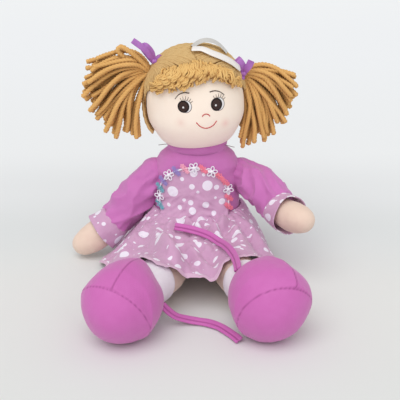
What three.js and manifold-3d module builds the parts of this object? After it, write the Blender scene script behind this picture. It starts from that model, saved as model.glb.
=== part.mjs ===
// A cloth rag doll, sitting on the floor with its legs stretched out in front of it.
// Millimetres. +Z is up, the doll looks along -Y, and its own left is +X.
// The origin is on the floor, under the middle of its seat.

import * as THREE from 'three';
import { mergeVertices } from 'three/addons/utils/BufferGeometryUtils.js';
import Module from 'manifold-3d';

const wasm = await Module();
wasm.setup();

const v = (x, y, z) => new THREE.Vector3(x, y, z);
const { clamp, degToRad, lerp } = THREE.MathUtils;
const sides = { left: 1, right: -1 };

// A grid of points, one more each way than its cells
const grid = (rows, columns, point) => Array.from({ length: rows + 1 }, (_, r) => (
  Array.from({ length: columns + 1 }, (__, c) => point(r, c))
));

// Clearances and cloth
const gap = 0.3;
const socketGap = 0.9;
const overrun = 2;
const weld = 0.0001;
const jersey = 2.5;
const cotton = 1.2;
const ribbonThickness = 0.8;
const stitchHeight = 0.7;

// Trunk: a table of heights, each with its half width and half depth
const torsoHeight = 122;
const torsoHalfWidth = 50;
const torsoHalfDepth = 38;
const torsoShares = [
  [0, 0.8, 0.74], [0.025, 0.92, 0.9], [0.1, 1, 1], [0.2, 1, 1], [0.33, 0.92, 0.93], [0.45, 0.84, 0.87],
  [0.61, 0.8, 0.85], [0.75, 0.82, 0.83], [0.85, 0.8, 0.79], [0.92, 0.71, 0.72], [0.97, 0.56, 0.62],
  [1, 0.3, 0.4],
];
const waistHeight = 50;

// Neck
const neckRise = 6;
const neckSetBack = 2;
const neckPivot = v(0, neckSetBack, torsoHeight + neckRise);
const neckRadius = 20;
const collarHollowRadius = 33.5;
const collarHollowHeight = 13.2;
const collarRadius = 30.5;
const collarThickness = 2.4;
const collarTuck = 10;
const collarBottom = torsoHeight - collarTuck;
const collarHeight = 21;
const neckHoleRadius = 27.5;

// Head
const headForward = 3;
const headRise = 35;
const headMiddle = v(0, -headForward, neckPivot.z + headRise);
const headHalfWidth = 49;
const headHalfDepth = 42;
const headAbove = 59;
const headBelow = 44;
const headFullness = 2.3;
const headRoll = degToRad(3);
const headTurn = degToRad(4);

// Face
const eyeSpacing = 32;
const eyeShift = 3.2;
const eyeHeight = 11.4;
const eyeRadius = 5.8;
const browSpacing = 34;
const browWidth = 1.1;
const browSpan = 14;
const browRise = 5.8;
const browHeight = 24.4;
const noseShift = 7.6;
const noseWidth = 7.4;
const noseHeight = 0.8;
const noseRise = 2;
const mouthWidth = 19.6;
const mouthHeight = -5.2;
const mouthDrop = 6.1;
const mouthStroke = 1.2;

// Hair
const hairThickness = 4.2;
const hairlineRise = 40;
const hairlineHeight = headMiddle.z + hairlineRise;
const napeDrop = 22;
const faceHalfWidth = 46.5;
const earForward = 8;
const fringeThickness = 5;
const fringeWidth = 17;
const fringeHalfSpan = 42;
const fringeMiddleRise = 43;
const fringeEndRise = 33;
const tieReaches = { left: 49, right: -44 };
const tieRises = { left: 30.5, right: 39 };
const pigtailRoot = 6;
const pigtailHalfThickness = 15;
const pigtailTopReach = 60;
const pigtailBottomReach = 80;
const pigtailTurns = { left: [-12, -93], right: [18, -80] };

// Ribbons
const bowRibbonWidth = 7;
const bowLoopLength = 15;
const bowLoopHeight = 7;
const bowTailLength = 19;
const bowTailSag = 3;
const bowKnotRadius = 3.6;
const bowForward = { left: 8.5, right: 2 };
const bowOutwards = { left: 1, right: 6 };
const bowRises = { left: 3.5, right: 9.5 };
const bowLoopTurns = { left: [110, 75], right: [70, 110] };
const bowTailTurns = { left: 55, right: 140 };
const crownRibbonWidth = 10;
const crownRibbonRise = 6;
const crownRibbonStart = -6;
const crownRibbonEnd = 39;

// Arms: each follows its own line from the shoulder to the tip of the hand
const shoulder = { x: 44, y: 0, z: 90 };
const armRadius = 15;
const armShares = [
  [0, 0.95], [0.2, 0.93], [0.45, 0.9], [0.58, 0.9], [0.68, 1], [0.78, 1.04], [0.88, 0.94], [0.95, 0.68],
  [0.985, 0.45], [1, 0.25],
];
const armLength = 121;
const armLineShares = {
  left: [[0.182, -0.182, -0.066], [0.339, -0.4, -0.182], [0.537, -0.702, -0.17]],
  right: [[-0.198, -0.033, -0.24], [-0.4, -0.066, -0.462], [-0.705, -0.124, -0.668]],
};
const armSwings = { left: [-30, 60], right: [-80, 15] };
const swingPlaces = 9;
const shoulderRadius = 16.5;
const sleeveRadius = 19;
const sleeveShares = [[0.02, 0.85], [0.13, 0.9], [0.26, 1.02], [0.4, 1], [0.5, 0.95], [0.56, 0.95]];
const cuffRadius = 19;
const cuffShares = [[0.565, 0.98], [0.6, 0.98], [0.64, 0.97], [0.68, 0.98]];

// Legs: each follows its own line from the hip to the ankle
const hip = { x: 22, y: -28, z: 22 };
const hipRadius = 21.4;
const legRadius = 20.5;
const legShares = [
  [0.02, 0.6], [0.15, 0.66], [0.3, 0.92], [0.45, 1], [0.65, 0.98], [0.85, 0.92], [0.97, 0.9], [1.03, 0.74],
  [1.06, 0.4],
];
const legLength = 126;
const legLineShares = {
  left: [[0.063, -0.333, 0.016], [0.143, -0.683, 0.04], [0.222, -0.952, 0.095]],
  right: [[-0.024, -0.333, 0.016], [-0.079, -0.635, 0.04], [-0.198, -0.952, 0.095]],
};
const sockThickness = 1.8;
const sockSpanShares = [0.78, 1];
const seatHollowReach = 8;

// Shoes: the foot swells from the ankle towards its sole. Each place is a share of its depth from the ankle.
const shoeHalfWidth = 34.5;
const shoeHalfHeight = 37.5;
const shoeDepth = 70;
const shoeShares = [
  [0, 0.5], [0.04, 0.66], [0.14, 0.84], [0.28, 0.95], [0.45, 1], [0.62, 0.98], [0.78, 0.85], [0.9, 0.62],
  [0.97, 0.38], [1, 0.18],
];
const shoeLineShares = {
  left: [[0, -0.014, 0.01], [0.12, -0.3, 0.035], [0.215, -0.58, 0.045], [0.265, -0.93, 0.05]],
  right: [[0, -0.014, 0.01], [-0.17, -0.329, 0.035], [-0.31, -0.629, 0.045], [-0.38, -1, 0.05]],
};
const soleCentreShares = { left: [0.229, -0.714, 0.114], right: [-0.314, -0.757, 0.171] };
const soleFacing = { left: v(0.21, -0.907, -0.365), right: v(-0.395, -0.796, -0.456) };
const toeFacing = { left: v(0.717, -0.305, 0.627), right: v(-0.215, -0.663, 0.718) };

// Straps: flat folded strips, each from its shoe to its loose end
const strapWidth = 8;
const strapThickness = 2.6;
const strapStepShare = 2.4;
const strapLift = 2.6;
const strapRoutes = {
  left: [
    v(37, -153, 54.5), v(36.5, -144, 55.5), v(35.5, -134, 55.5), v(34, -124, 55), v(30.5, -110, 54.5),
    v(26, -97, 53), v(20, -85, 51.5), v(12, -75, 50.5), v(2, -68, 50.5), v(-9, -64, 51), v(-22, -62, 51),
  ],
  right: [
    v(-31, -158, 21), v(-25, -158.5, 14.5), v(-18, -158, 9), v(-9, -156.5, 5.5), v(0, -156.5, 3.6),
    v(10, -159.5, 2.2), v(19, -165, 1.9), v(27, -174, 1.9), v(34, -184, 1.9), v(37.5, -190, 1.9),
  ],
};

// Bib and its lace
const bibHalfWidth = 35;
const bibBottom = 59.5;
const bibTop = 108;
const bibCentre = -3;
const bibArchShare = 0.62;
const flowerRadius = 5.2;
const flowerThickness = 1.6;
const flowerCount = 15;

// Skirt: a gathered sheet from the waist seam to the hem
const skirtTop = 57;
const skirtThickness = 1.2;
const waistFullness = 3.4;
const hemLift = 1.2;
const hemFrontLift = 22;
const hemReach = 134;
const hemLeanShare = 0.11;
const hemShares = [0.944, 1, 0.86, 0.71, 0.6, 0.57, 0.57, 0.572, 0.572];
const skirtColumns = 56;
const skirtRows = 7;
const foldCount = 14;
const foldDepth = 3.2;
const lapClearance = 3.2;
const lapSlackShare = 0.55;
const skirtFullness = 0.7;
const underArmFullness = 1.5;

// Turning shapes into solids, and joining and cutting them

function outward(geometry) {
  const p = geometry.attributes.position;
  const index = geometry.index.array;
  let volume = 0;
  const [a, b, c] = [v(0, 0, 0), v(0, 0, 0), v(0, 0, 0)];
  for (let i = 0; i < index.length; i += 3) {
    a.fromBufferAttribute(p, index[i]);
    b.fromBufferAttribute(p, index[i + 1]);
    c.fromBufferAttribute(p, index[i + 2]);
    volume += a.dot(b.cross(c));
  }
  if (volume < 0) index.reverse();
  return geometry;
}

function meshed(points, faces) {
  const geometry = new THREE.BufferGeometry();
  const places = points.flatMap((p) => p.toArray());
  geometry.setAttribute('position', new THREE.Float32BufferAttribute(places, 3));
  geometry.setIndex(faces);
  return outward(geometry);
}

function solidOf(geometry) {
  const bare = geometry.clone();
  bare.deleteAttribute('normal');
  bare.deleteAttribute('uv');
  const merged = mergeVertices(bare, weld);
  const vertProperties = new Float32Array(merged.attributes.position.array);
  const triVerts = new Uint32Array(merged.index.array);
  return new wasm.Manifold(new wasm.Mesh({ numProp: 3, vertProperties, triVerts }));
}

function geometryOf(solid) {
  const mesh = solid.getMesh();
  const geometry = new THREE.BufferGeometry();
  geometry.setAttribute('position', new THREE.Float32BufferAttribute(mesh.vertProperties, 3));
  geometry.setIndex(Array.from(mesh.triVerts));
  return geometry;
}

const joined = (...solids) => solids.reduce((all, next) => all.add(next));
const cut = (solid, ...tools) => tools.reduce((rest, tool) => rest.subtract(tool), solid);

// A closed form through rings of points, with each end closed by a fan
function ringForm(rings) {
  const count = rings[0].length;
  const points = rings.flat();
  const faces = [];
  for (let r = 0; r + 1 < rings.length; r += 1) {
    for (let i = 0; i < count; i += 1) {
      const j = (i + 1) % count;
      const [a, b, c, d] = [r * count + i, r * count + j, (r + 1) * count + j, (r + 1) * count + i];
      faces.push(a, b, c, a, c, d);
    }
  }
  for (const [ring, turned] of [[0, true], [rings.length - 1, false]]) {
    const middle = points.length;
    points.push(rings[ring].reduce((sum, p) => sum.add(p), v(0, 0, 0)).divideScalar(count));
    for (let i = 0; i < count; i += 1) {
      const [a, b] = [ring * count + i, ring * count + ((i + 1) % count)];
      faces.push(...(turned ? [middle, b, a] : [middle, a, b]));
    }
  }
  return meshed(points, faces);
}

// A sheet between two grids of points, with its rims closed; wrapped joins its last column to its first
function sheetForm(front, back, wrapped = false) {
  const [rows, columns] = [front.length, front[0].length];
  const points = [...front.flat(), ...back.flat()];
  const at = (layer, r, c) => layer * rows * columns + r * columns + (c % columns);
  const faces = [];
  const quad = (a, b, c, d) => faces.push(a, b, c, a, c, d);
  const spans = wrapped ? columns : columns - 1;
  for (let r = 0; r + 1 < rows; r += 1) {
    for (let c = 0; c < spans; c += 1) {
      quad(at(0, r, c), at(0, r, c + 1), at(0, r + 1, c + 1), at(0, r + 1, c));
      quad(at(1, r, c), at(1, r + 1, c), at(1, r + 1, c + 1), at(1, r, c + 1));
    }
  }
  for (let c = 0; c < spans; c += 1) {
    quad(at(0, 0, c), at(1, 0, c), at(1, 0, c + 1), at(0, 0, c + 1));
    quad(at(0, rows - 1, c), at(0, rows - 1, c + 1), at(1, rows - 1, c + 1), at(1, rows - 1, c));
  }
  for (let r = 0; !wrapped && r + 1 < rows; r += 1) {
    quad(at(0, r, 0), at(0, r + 1, 0), at(1, r + 1, 0), at(1, r, 0));
    quad(at(0, r, columns - 1), at(1, r, columns - 1), at(1, r + 1, columns - 1), at(0, r + 1, columns - 1));
  }
  return meshed(points, faces);
}

function ball(centre, radius, detail = 16) {
  const form = new THREE.SphereGeometry(radius, detail, detail / 2);
  form.translate(centre.x, centre.y, centre.z);
  return solidOf(form);
}

function block(low, high) {
  const form = new THREE.BoxGeometry(high.x - low.x, high.y - low.y, high.z - low.z);
  form.translate((low.x + high.x) / 2, (low.y + high.y) / 2, (low.z + high.z) / 2);
  return solidOf(form);
}

// All that lies past a plane, as far as any piece of the doll reaches
const everything = 4 * (torsoHeight + headAbove + headBelow);
function pastPlane(point, normal) {
  const form = new THREE.BoxGeometry(everything, everything, everything);
  form.translate(0, 0, everything / 2);
  form.applyQuaternion(new THREE.Quaternion().setFromUnitVectors(v(0, 0, 1), normal.clone().normalize()));
  form.translate(point.x, point.y, point.z);
  return solidOf(form);
}

// A line from a start through places that are given as shares of a length
const placed = (start, length, placeShares) => placeShares.map((place) => (
  start.clone().addScaledVector(v(...place), length)
));

// A stuffed limb: round sections along a smooth line, its radius a share of the full one
function limb({ line, radius, shares, flatten = 1, steps = 12 }, grow = 0) {
  const curve = new THREE.CatmullRomCurve3(line, false, 'centripetal');
  const across = v(1, 0, 0);
  const rings = shares.map(([along, share], k) => {
    const t = clamp(along, 0, 1);
    const tangent = curve.getTangentAt(t);
    const beyond = (along - t) * curve.getLength();
    const endGrow = k === 0 ? -grow : k === shares.length - 1 ? grow : 0;
    const centre = curve.getPointAt(t).addScaledVector(tangent, beyond + endGrow);
    const side = across.clone().addScaledVector(tangent, -across.dot(tangent)).normalize();
    const up = new THREE.Vector3().crossVectors(tangent, side);
    return Array.from({ length: steps }, (_, i) => {
      const angle = (2 * Math.PI * i) / steps;
      const [wide, tall] = [radius * share + grow, radius * share * flatten + grow];
      return centre.clone().addScaledVector(side, wide * Math.cos(angle))
        .addScaledVector(up, tall * Math.sin(angle));
    });
  });
  return solidOf(ringForm(rings));
}

// Trunk, neck and the clothes that go round them

function torsoSize(z) {
  const height = z / torsoHeight;
  const k = Math.max(1, torsoShares.findIndex(([share]) => share >= height));
  const [lowHeight, lowWide, lowDeep] = torsoShares[k - 1];
  const [highHeight, highWide, highDeep] = torsoShares[k];
  const t = (height - lowHeight) / (highHeight - lowHeight);
  return [
    torsoHalfWidth * lerp(lowWide, highWide, t),
    torsoHalfDepth * lerp(lowDeep, highDeep, t),
  ];
}

function torsoForm(grow = 0, steps = 18) {
  const last = torsoShares.length - 1;
  const rings = torsoShares.map(([height, wide, deep], k) => {
    const z = torsoHeight * height + (k === 0 ? -grow : k === last ? grow : 0);
    return Array.from({ length: steps }, (_, i) => {
      const angle = (2 * Math.PI * i) / steps;
      return v(
        (torsoHalfWidth * wide + grow) * Math.sin(angle),
        -(torsoHalfDepth * deep + grow) * Math.cos(angle),
        z,
      );
    });
  });
  return solidOf(ringForm(rings));
}

// The point of the trunk's front at a place seen from the front, lifted off the surface
function torsoFront(x, z, lift) {
  const [wide, deep] = torsoSize(z);
  const across = Math.min(Math.abs(x) / (wide + lift), 0.99);
  return v(x, -(deep + lift) * Math.sqrt(1 - across ** 2), z);
}

function column(radius, low, high, steps = 24) {
  const form = new THREE.CylinderGeometry(radius, radius, high - low, steps);
  form.rotateX(Math.PI / 2);
  form.translate(neckPivot.x, neckPivot.y, (low + high) / 2);
  return solidOf(form);
}

const shoulderOf = (side) => v(sides[side] * shoulder.x, shoulder.y, shoulder.z);
const hipOf = (side) => v(sides[side] * hip.x, hip.y, hip.z);
const shoulderSocket = (side) => joined(ball(shoulderOf(side), shoulderRadius + socketGap), ...armSweep(side));

// The room that both hips turn in: a round trough across the front of the seat
function hipTrough() {
  const radius = hipRadius + socketGap;
  const form = new THREE.CylinderGeometry(radius, radius, 3 * torsoHalfWidth, 24);
  form.rotateZ(Math.PI / 2);
  form.translate(0, hip.y, hip.z);
  const front = 2 * torsoHalfDepth;
  const reach = 2 * torsoHalfWidth;
  return joined(solidOf(form), block(v(-reach, -front, -overrun), v(reach, hip.y + seatHollowReach, hip.z)));
}

function torso() {
  return cut(
    torsoForm(),
    hipTrough(),
    ball(neckPivot, neckRadius + socketGap),
    shoulderSocket('left'),
    shoulderSocket('right'),
  );
}

function bodice() {
  const reach = 2 * torsoHalfWidth;
  return cut(
    torsoForm(jersey + gap),
    torsoForm(gap),
    block(v(-reach, -reach, -reach), v(reach, reach, waistHeight)),
    column(neckHoleRadius, waistHeight, torsoHeight + jersey + overrun),
    shoulderSocket('left'),
    shoulderSocket('right'),
  );
}

function collar() {
  return cut(
    column(collarRadius, collarBottom, collarBottom + collarHeight),
    column(collarRadius - collarThickness, collarBottom - overrun, collarBottom + collarHeight + overrun),
    torsoForm(jersey + 2 * gap),
  );
}

const bibLift = jersey + 4 * gap;
const trimLift = bibLift + cotton + 2 * gap;

// Half the bib's width at a height: straight sides that end in a round arch
function bibHalfAt(z) {
  const share = (z - bibBottom) / (bibTop - bibBottom);
  const over = Math.max(0, (share - (1 - bibArchShare)) / bibArchShare);
  return bibHalfWidth * Math.sqrt(Math.max(0, 1 - over ** 2));
}

function bib() {
  const [rows, columns] = [8, 8];
  const layer = (lift) => grid(rows, columns, (r, c) => {
    const z = lerp(bibBottom, bibTop, Math.sin((r / rows) * 0.46 * Math.PI));
    return torsoFront(bibCentre + bibHalfAt(z) * ((2 * c) / columns - 1), z, lift);
  });
  const cloth = solidOf(sheetForm(layer(bibLift + cotton), layer(bibLift)));
  return cut(cloth, shoulderSocket('left'), shoulderSocket('right'));
}

// Evenly spaced places along the bib's edge, from its right foot over the arch to its left foot
function bibEdge(count) {
  const steps = 160;
  const points = Array.from({ length: steps + 1 }, (_, i) => {
    const turn = (i / steps) * 2 - 1;
    const arch = bibArchShare * (bibTop - bibBottom);
    const straight = bibTop - bibBottom - arch - flowerRadius;
    const quarter = 0.5;
    const over = Math.min(1, Math.abs(turn) / quarter - 1);
    if (Math.abs(turn) > quarter) {
      return v(bibCentre + Math.sign(turn) * bibHalfWidth, 0, bibTop - arch - over * straight);
    }
    const angle = (turn / quarter) * (Math.PI / 2);
    return v(bibCentre + bibHalfWidth * Math.sin(angle), 0, bibTop - arch + arch * Math.cos(angle));
  });
  const path = new THREE.CurvePath();
  points.slice(1).forEach((point, i) => path.add(new THREE.LineCurve3(points[i], point)));
  return Array.from({ length: count }, (_, i) => path.getPointAt(i / (count - 1)));
}

function flowerTrim() {
  const petals = 5;
  const flowers = bibEdge(flowerCount).map((place) => {
    const base = torsoFront(place.x, place.z, trimLift);
    const east = torsoFront(place.x + flowerThickness, place.z, trimLift);
    const north = torsoFront(place.x, place.z + flowerThickness, trimLift);
    const right = east.sub(base).normalize();
    const normal = new THREE.Vector3().crossVectors(right, north.sub(base)).normalize();
    const up = new THREE.Vector3().crossVectors(normal, right);
    const ring = (height) => Array.from({ length: 2 * petals }, (_, i) => {
      const angle = (Math.PI * i) / petals;
      const radius = flowerRadius * (i % 2 ? 0.74 : 1);
      return base.clone().addScaledVector(right, radius * Math.cos(angle))
        .addScaledVector(up, radius * Math.sin(angle)).addScaledVector(normal, height);
    });
    return solidOf(ringForm([ring(0), ring(flowerThickness)]));
  });
  const tape = (lift) => [-1, 1].map((edge) => bibEdge(2 * flowerCount).map((place, i, all) => {
    const before = all[Math.max(0, i - 1)];
    const after = all[Math.min(all.length - 1, i + 1)];
    const across = v(after.z - before.z, 0, before.x - after.x).normalize();
    const spot = place.clone().addScaledVector(across, edge * flowerRadius * 0.3);
    return torsoFront(spot.x, spot.z, lift);
  }));
  const lace = solidOf(sheetForm(tape(trimLift + flowerThickness / 2), tape(trimLift)));
  return cut(joined(lace, ...flowers), shoulderSocket('left'), shoulderSocket('right'));
}

// Arms with their sleeves and cuffs

function armLine(side) {
  const start = shoulderOf(side);
  return [start, ...placed(start, armLength, armLineShares[side])];
}

const arm = (side, grow = 0) => limb({ line: armLine(side), radius: armRadius, shares: armShares }, grow);

// The upper sleeve at several places of its swing, a little larger than it is
function armSweep(side) {
  const [low, high] = armSwings[side].map(degToRad);
  return Array.from({ length: swingPlaces }, (_, k) => {
    const swing = lerp(low, high, k / (swingPlaces - 1));
    const line = armLine(side).map((place) => (
      place.sub(shoulderOf(side)).applyAxisAngle(v(1, 0, 0), swing).add(shoulderOf(side))
    ));
    const shares = sleeveShares.filter(([along]) => along < 0.4);
    return limb({ line, radius: sleeveRadius, shares }, socketGap);
  });
}

function sleeveForm(side, grow = 0) {
  return joined(
    ball(shoulderOf(side), shoulderRadius + grow),
    limb({ line: armLine(side), radius: sleeveRadius, shares: sleeveShares }, grow),
  );
}

const sleeve = (side) => cut(sleeveForm(side), arm(side, gap));

const cuffForm = (side, grow = 0) => (
  limb({ line: armLine(side), radius: cuffRadius, shares: cuffShares }, grow)
);
const cuff = (side) => cut(cuffForm(side), arm(side, gap));

// Legs, socks and shoes

function legLine(side) {
  const start = hipOf(side);
  return [start, ...placed(start, legLength, legLineShares[side])];
}

function leg(side, grow = 0) {
  return joined(
    ball(hipOf(side), hipRadius + Math.min(grow, gap)),
    limb({ line: legLine(side), radius: legRadius, shares: legShares }, grow),
  );
}

function sock(side) {
  const curve = new THREE.CatmullRomCurve3(legLine(side), false, 'centripetal');
  const [first, last] = sockSpanShares;
  const band = cut(leg(side, gap + sockThickness), leg(side, gap));
  return band
    .intersect(pastPlane(curve.getPointAt(first), curve.getTangentAt(first)))
    .subtract(pastPlane(curve.getPointAt(last), curve.getTangentAt(last)));
}

const ankleOf = (side) => legLine(side).pop();

function shoeForm(side, grow = 0) {
  const flatten = shoeHalfHeight / shoeHalfWidth;
  const line = placed(ankleOf(side), shoeDepth, shoeLineShares[side]);
  return limb({ line, radius: shoeHalfWidth, shares: shoeShares, flatten, steps: 18 }, grow);
}

// The three cloth panels of a shoe: its sole, and two sides that meet in a seam over the toe
function shoePanels(side) {
  const [soleCentre] = placed(ankleOf(side), shoeDepth, [soleCentreShares[side]]);
  const foot = cut(
    shoeForm(side),
    leg(side, 2 * gap + sockThickness),
    block(v(-everything, -everything, -everything), v(everything, everything, 0)),
  );
  const soleNormal = soleFacing[side].clone().normalize();
  const seamNormal = new THREE.Vector3().crossVectors(soleNormal, toeFacing[side]).normalize();
  const inward = seamNormal.x * sides[side] < 0 ? seamNormal : seamNormal.clone().negate();
  const shifted = (normal, distance) => soleCentre.clone().addScaledVector(normal, distance);
  const upper = cut(foot, pastPlane(shifted(soleNormal, -gap / 2), soleNormal));
  return {
    sole: foot.intersect(pastPlane(shifted(soleNormal, gap / 2), soleNormal)),
    inner: upper.intersect(pastPlane(shifted(inward, gap / 2), inward)),
    outer: cut(upper, pastPlane(shifted(inward, -gap / 2), inward)),
  };
}

// Skirt

const eased = (a, b, t) => lerp(a, b, (1 - Math.cos(Math.PI * t)) / 2);

function hemRadius(angle) {
  const turn = Math.abs(Math.atan2(Math.sin(angle), Math.cos(angle))) / Math.PI;
  const place = turn * (hemShares.length - 1);
  const k = Math.min(Math.floor(place), hemShares.length - 2);
  return hemReach * eased(hemShares[k], hemShares[k + 1], place - k) * (1 - hemLeanShare * Math.sin(angle));
}

const legSpines = Object.keys(sides).map((side) => {
  const curve = new THREE.CatmullRomCurve3(legLine(side), false, 'centripetal');
  return curve.getSpacedPoints(24);
});

// How high the cloth has to pass over the legs at a place seen from above. Between the legs it leaves each
// leg's round on a straight slope, so it hangs in a slack valley.
function lapHeight(x, y) {
  const shoulderHeight = Math.sqrt(1 - lapSlackShare ** 2);
  const heights = legSpines.flat().map((spine) => {
    const across = Math.hypot(x - spine.x, y - spine.y) / (legRadius + 2 * lapClearance);
    const between = Math.sign(spine.x) * (spine.x - x) > 0;
    const slope = shoulderHeight - ((across - lapSlackShare) * lapSlackShare) / shoulderHeight;
    const round = Math.sqrt(Math.max(0, 1 - across ** 2));
    const share = between && across > lapSlackShare ? slope : round;
    return share > 0 || between ? spine.z + (legRadius + lapClearance) * share : 0;
  });
  return Math.max(...heights);
}

function skirtPoint(angle, share) {
  const [wide, deep] = torsoSize(skirtTop).map((half) => half + jersey + waistFullness);
  const waist = 1 / Math.hypot(Math.sin(angle) / wide, Math.cos(angle) / deep);
  const fold = Math.sin(foldCount * angle + 0.6 * Math.sin(3 * angle));
  const reach = lerp(waist, hemRadius(angle), share ** 0.9) + foldDepth * share * fold;
  const [x, y] = [reach * Math.sin(angle), -reach * Math.cos(angle)];
  const front = Math.max(0, Math.cos(angle)) ** 2;
  const lowest = hemLift + hemFrontLift * front;
  const fall = lerp(skirtFullness, underArmFullness, Math.max(0, -Math.sin(angle)) ** 6);
  const wave = 0.5 * foldDepth * share * (1 - share) * (1 + fold);
  const free = lowest + (skirtTop - lowest) * (1 - share) ** fall + wave;
  const over = lapHeight(x, y);
  const blend = Math.max(0, 1 - Math.abs(free - over) / (5 * lapClearance));
  return v(x, y, Math.max(free, over, hemLift + skirtThickness) + lapClearance * blend ** 2);
}

// The height of the cloth under a place, or zero past the hem
function clothHeight(place) {
  const [angle, reach] = [Math.atan2(place.x, -place.y), Math.hypot(place.x, place.y)];
  if (reach > hemRadius(angle) + foldDepth) return 0;
  let [near, far] = [0, 1];
  for (let i = 0; i < 16; i += 1) {
    const point = skirtPoint(angle, (near + far) / 2);
    if (Math.hypot(point.x, point.y) < reach) near = (near + far) / 2;
    else far = (near + far) / 2;
  }
  return skirtPoint(angle, near).z;
}

function skirt() {
  const layer = (under) => grid(skirtRows, skirtColumns - 1, (r, c) => {
    const angle = (2 * Math.PI * c) / skirtColumns;
    const inwards = v(-0.5 * Math.sin(angle), 0.5 * Math.cos(angle), -0.9);
    return skirtPoint(angle, r / skirtRows).addScaledVector(inwards, under * skirtThickness);
  });
  const cloth = solidOf(sheetForm(layer(0), layer(1), true));
  const rests = Object.keys(sides).flatMap((side) => (
    [leg, arm, sleeveForm, cuffForm].map((form) => form(side, gap))
  ));
  return cut(cloth, ...rests);
}

// A flat strip along a route: sections with eight sides, their width kept level
function strap(side) {
  const route = strapRoutes[side].map((p) => p.clone().setZ(Math.max(p.z, clothHeight(p) + strapLift)));
  const curve = new THREE.CatmullRomCurve3(route, false, 'centripetal');
  const steps = Math.round(curve.getLength() / (strapWidth * strapStepShare)) * 2;
  const rings = Array.from({ length: steps + 1 }, (_, k) => {
    const centre = curve.getPointAt(k / steps);
    const tangent = curve.getTangentAt(k / steps);
    const across = new THREE.Vector3().crossVectors(tangent, v(0, 0, 1)).normalize();
    const up = new THREE.Vector3().crossVectors(across, tangent);
    return Array.from({ length: 8 }, (_, i) => {
      const angle = (Math.PI / 4) * (i + 0.5);
      const boxy = (share) => Math.sign(share) * Math.sqrt(Math.abs(share));
      const [wide, tall] = [boxy(Math.cos(angle)), boxy(Math.sin(angle))];
      return centre.clone().addScaledVector(across, (strapWidth / 2) * wide)
        .addScaledVector(up, (strapThickness / 2) * tall);
    });
  });
  return cut(solidOf(ringForm(rings)), shoeForm(side, gap));
}

// Head, face and hair. They are built upright, then turned and tilted together about the neck.

const headLevel = (z) => (z - headMiddle.z) / (z > headMiddle.z ? headAbove : headBelow);

function headSize(z) {
  const height = headLevel(z);
  const share = (1 - Math.min(Math.abs(height), 0.999) ** headFullness) ** (1 / headFullness);
  return [headHalfWidth * share, headHalfDepth * share];
}

function headForm(grow = 0, steps = 26, rows = 12) {
  const rings = Array.from({ length: rows + 1 }, (_, k) => {
    const height = clamp(Math.sin(Math.PI * (k / rows - 0.5)), -0.995, 0.995);
    const z = headMiddle.z + height * (height > 0 ? headAbove : headBelow);
    const [wide, deep] = headSize(z);
    return Array.from({ length: steps }, (_, i) => {
      const angle = (2 * Math.PI * i) / steps;
      return v(
        headMiddle.x + (wide + grow) * Math.sin(angle),
        headMiddle.y - (deep + grow) * Math.cos(angle),
        z + grow * height,
      );
    });
  });
  return solidOf(ringForm(rings));
}

// The point of the face at a place seen from the front, lifted off the surface
function facePoint(x, z, lift) {
  const under = [0, 1, 2].reduce((base) => z - lift * headLevel(base), z);
  const [wide, deep] = headSize(under);
  const across = Math.min(Math.abs(x) / (wide + lift), 0.98);
  return v(headMiddle.x + x, headMiddle.y - (deep + lift) * Math.sqrt(1 - across ** 2), z);
}

function head() {
  const hollow = ball(neckPivot, collarHollowRadius, 20).subtract(
    pastPlane(neckPivot.clone().setZ(neckPivot.z + collarHollowHeight), v(0, 0, 1)),
  );
  return cut(headForm(), hollow, ball(neckPivot, neckRadius + socketGap));
}

const neck = () => ball(neckPivot, neckRadius);

// A patch on the face: rows of places seen from the front, each a pair of a distance across and a height
function facePatch(rows, thickness) {
  const layer = (lift) => rows.map((row) => row.map(([x, z]) => facePoint(x, z, lift)));
  return solidOf(sheetForm(layer(gap + thickness), layer(gap)));
}

function stroke(places, width) {
  const rows = [-1, 1].map((edge) => places.map(([x, z], i) => {
    const [x0, z0] = places[Math.max(0, i - 1)];
    const [x1, z1] = places[Math.min(places.length - 1, i + 1)];
    const length = Math.hypot(x1 - x0, z1 - z0);
    return [x - (edge * (width / 2) * (z1 - z0)) / length, z + (edge * (width / 2) * (x1 - x0)) / length];
  }));
  return facePatch(rows, stitchHeight);
}

function eye(side) {
  const cells = 4;
  const rows = grid(cells, cells, (r, c) => {
    const [a, b] = [(2 * c) / cells - 1, (2 * r) / cells - 1];
    const x = eyeShift + (sides[side] * eyeSpacing) / 2 + eyeRadius * a * Math.sqrt(1 - b ** 2 / 2);
    return [x, headMiddle.z + eyeHeight + eyeRadius * b * Math.sqrt(1 - a ** 2 / 2)];
  });
  return facePatch(rows, stitchHeight);
}

const arc = (steps, shape) => Array.from({ length: steps + 1 }, (_, i) => shape((2 * i) / steps - 1));

function brow(side) {
  const places = arc(8, (turn) => [
    eyeShift + (sides[side] * browSpacing + turn * browSpan) / 2,
    headMiddle.z + browHeight - browRise * (0.5 + 0.5 * sides[side] * turn) ** 2,
  ]);
  return stroke(places, browWidth);
}

const nose = () => stroke(arc(8, (turn) => [
  noseShift + (turn * noseWidth) / 2,
  headMiddle.z + noseHeight + noseRise * (1 - turn ** 2),
]), mouthStroke);

const mouth = () => stroke(arc(12, (turn) => [
  noseShift + (turn * mouthWidth) / 2,
  headMiddle.z + mouthHeight - mouthDrop * (1 - turn ** 2),
]), mouthStroke);

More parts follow.
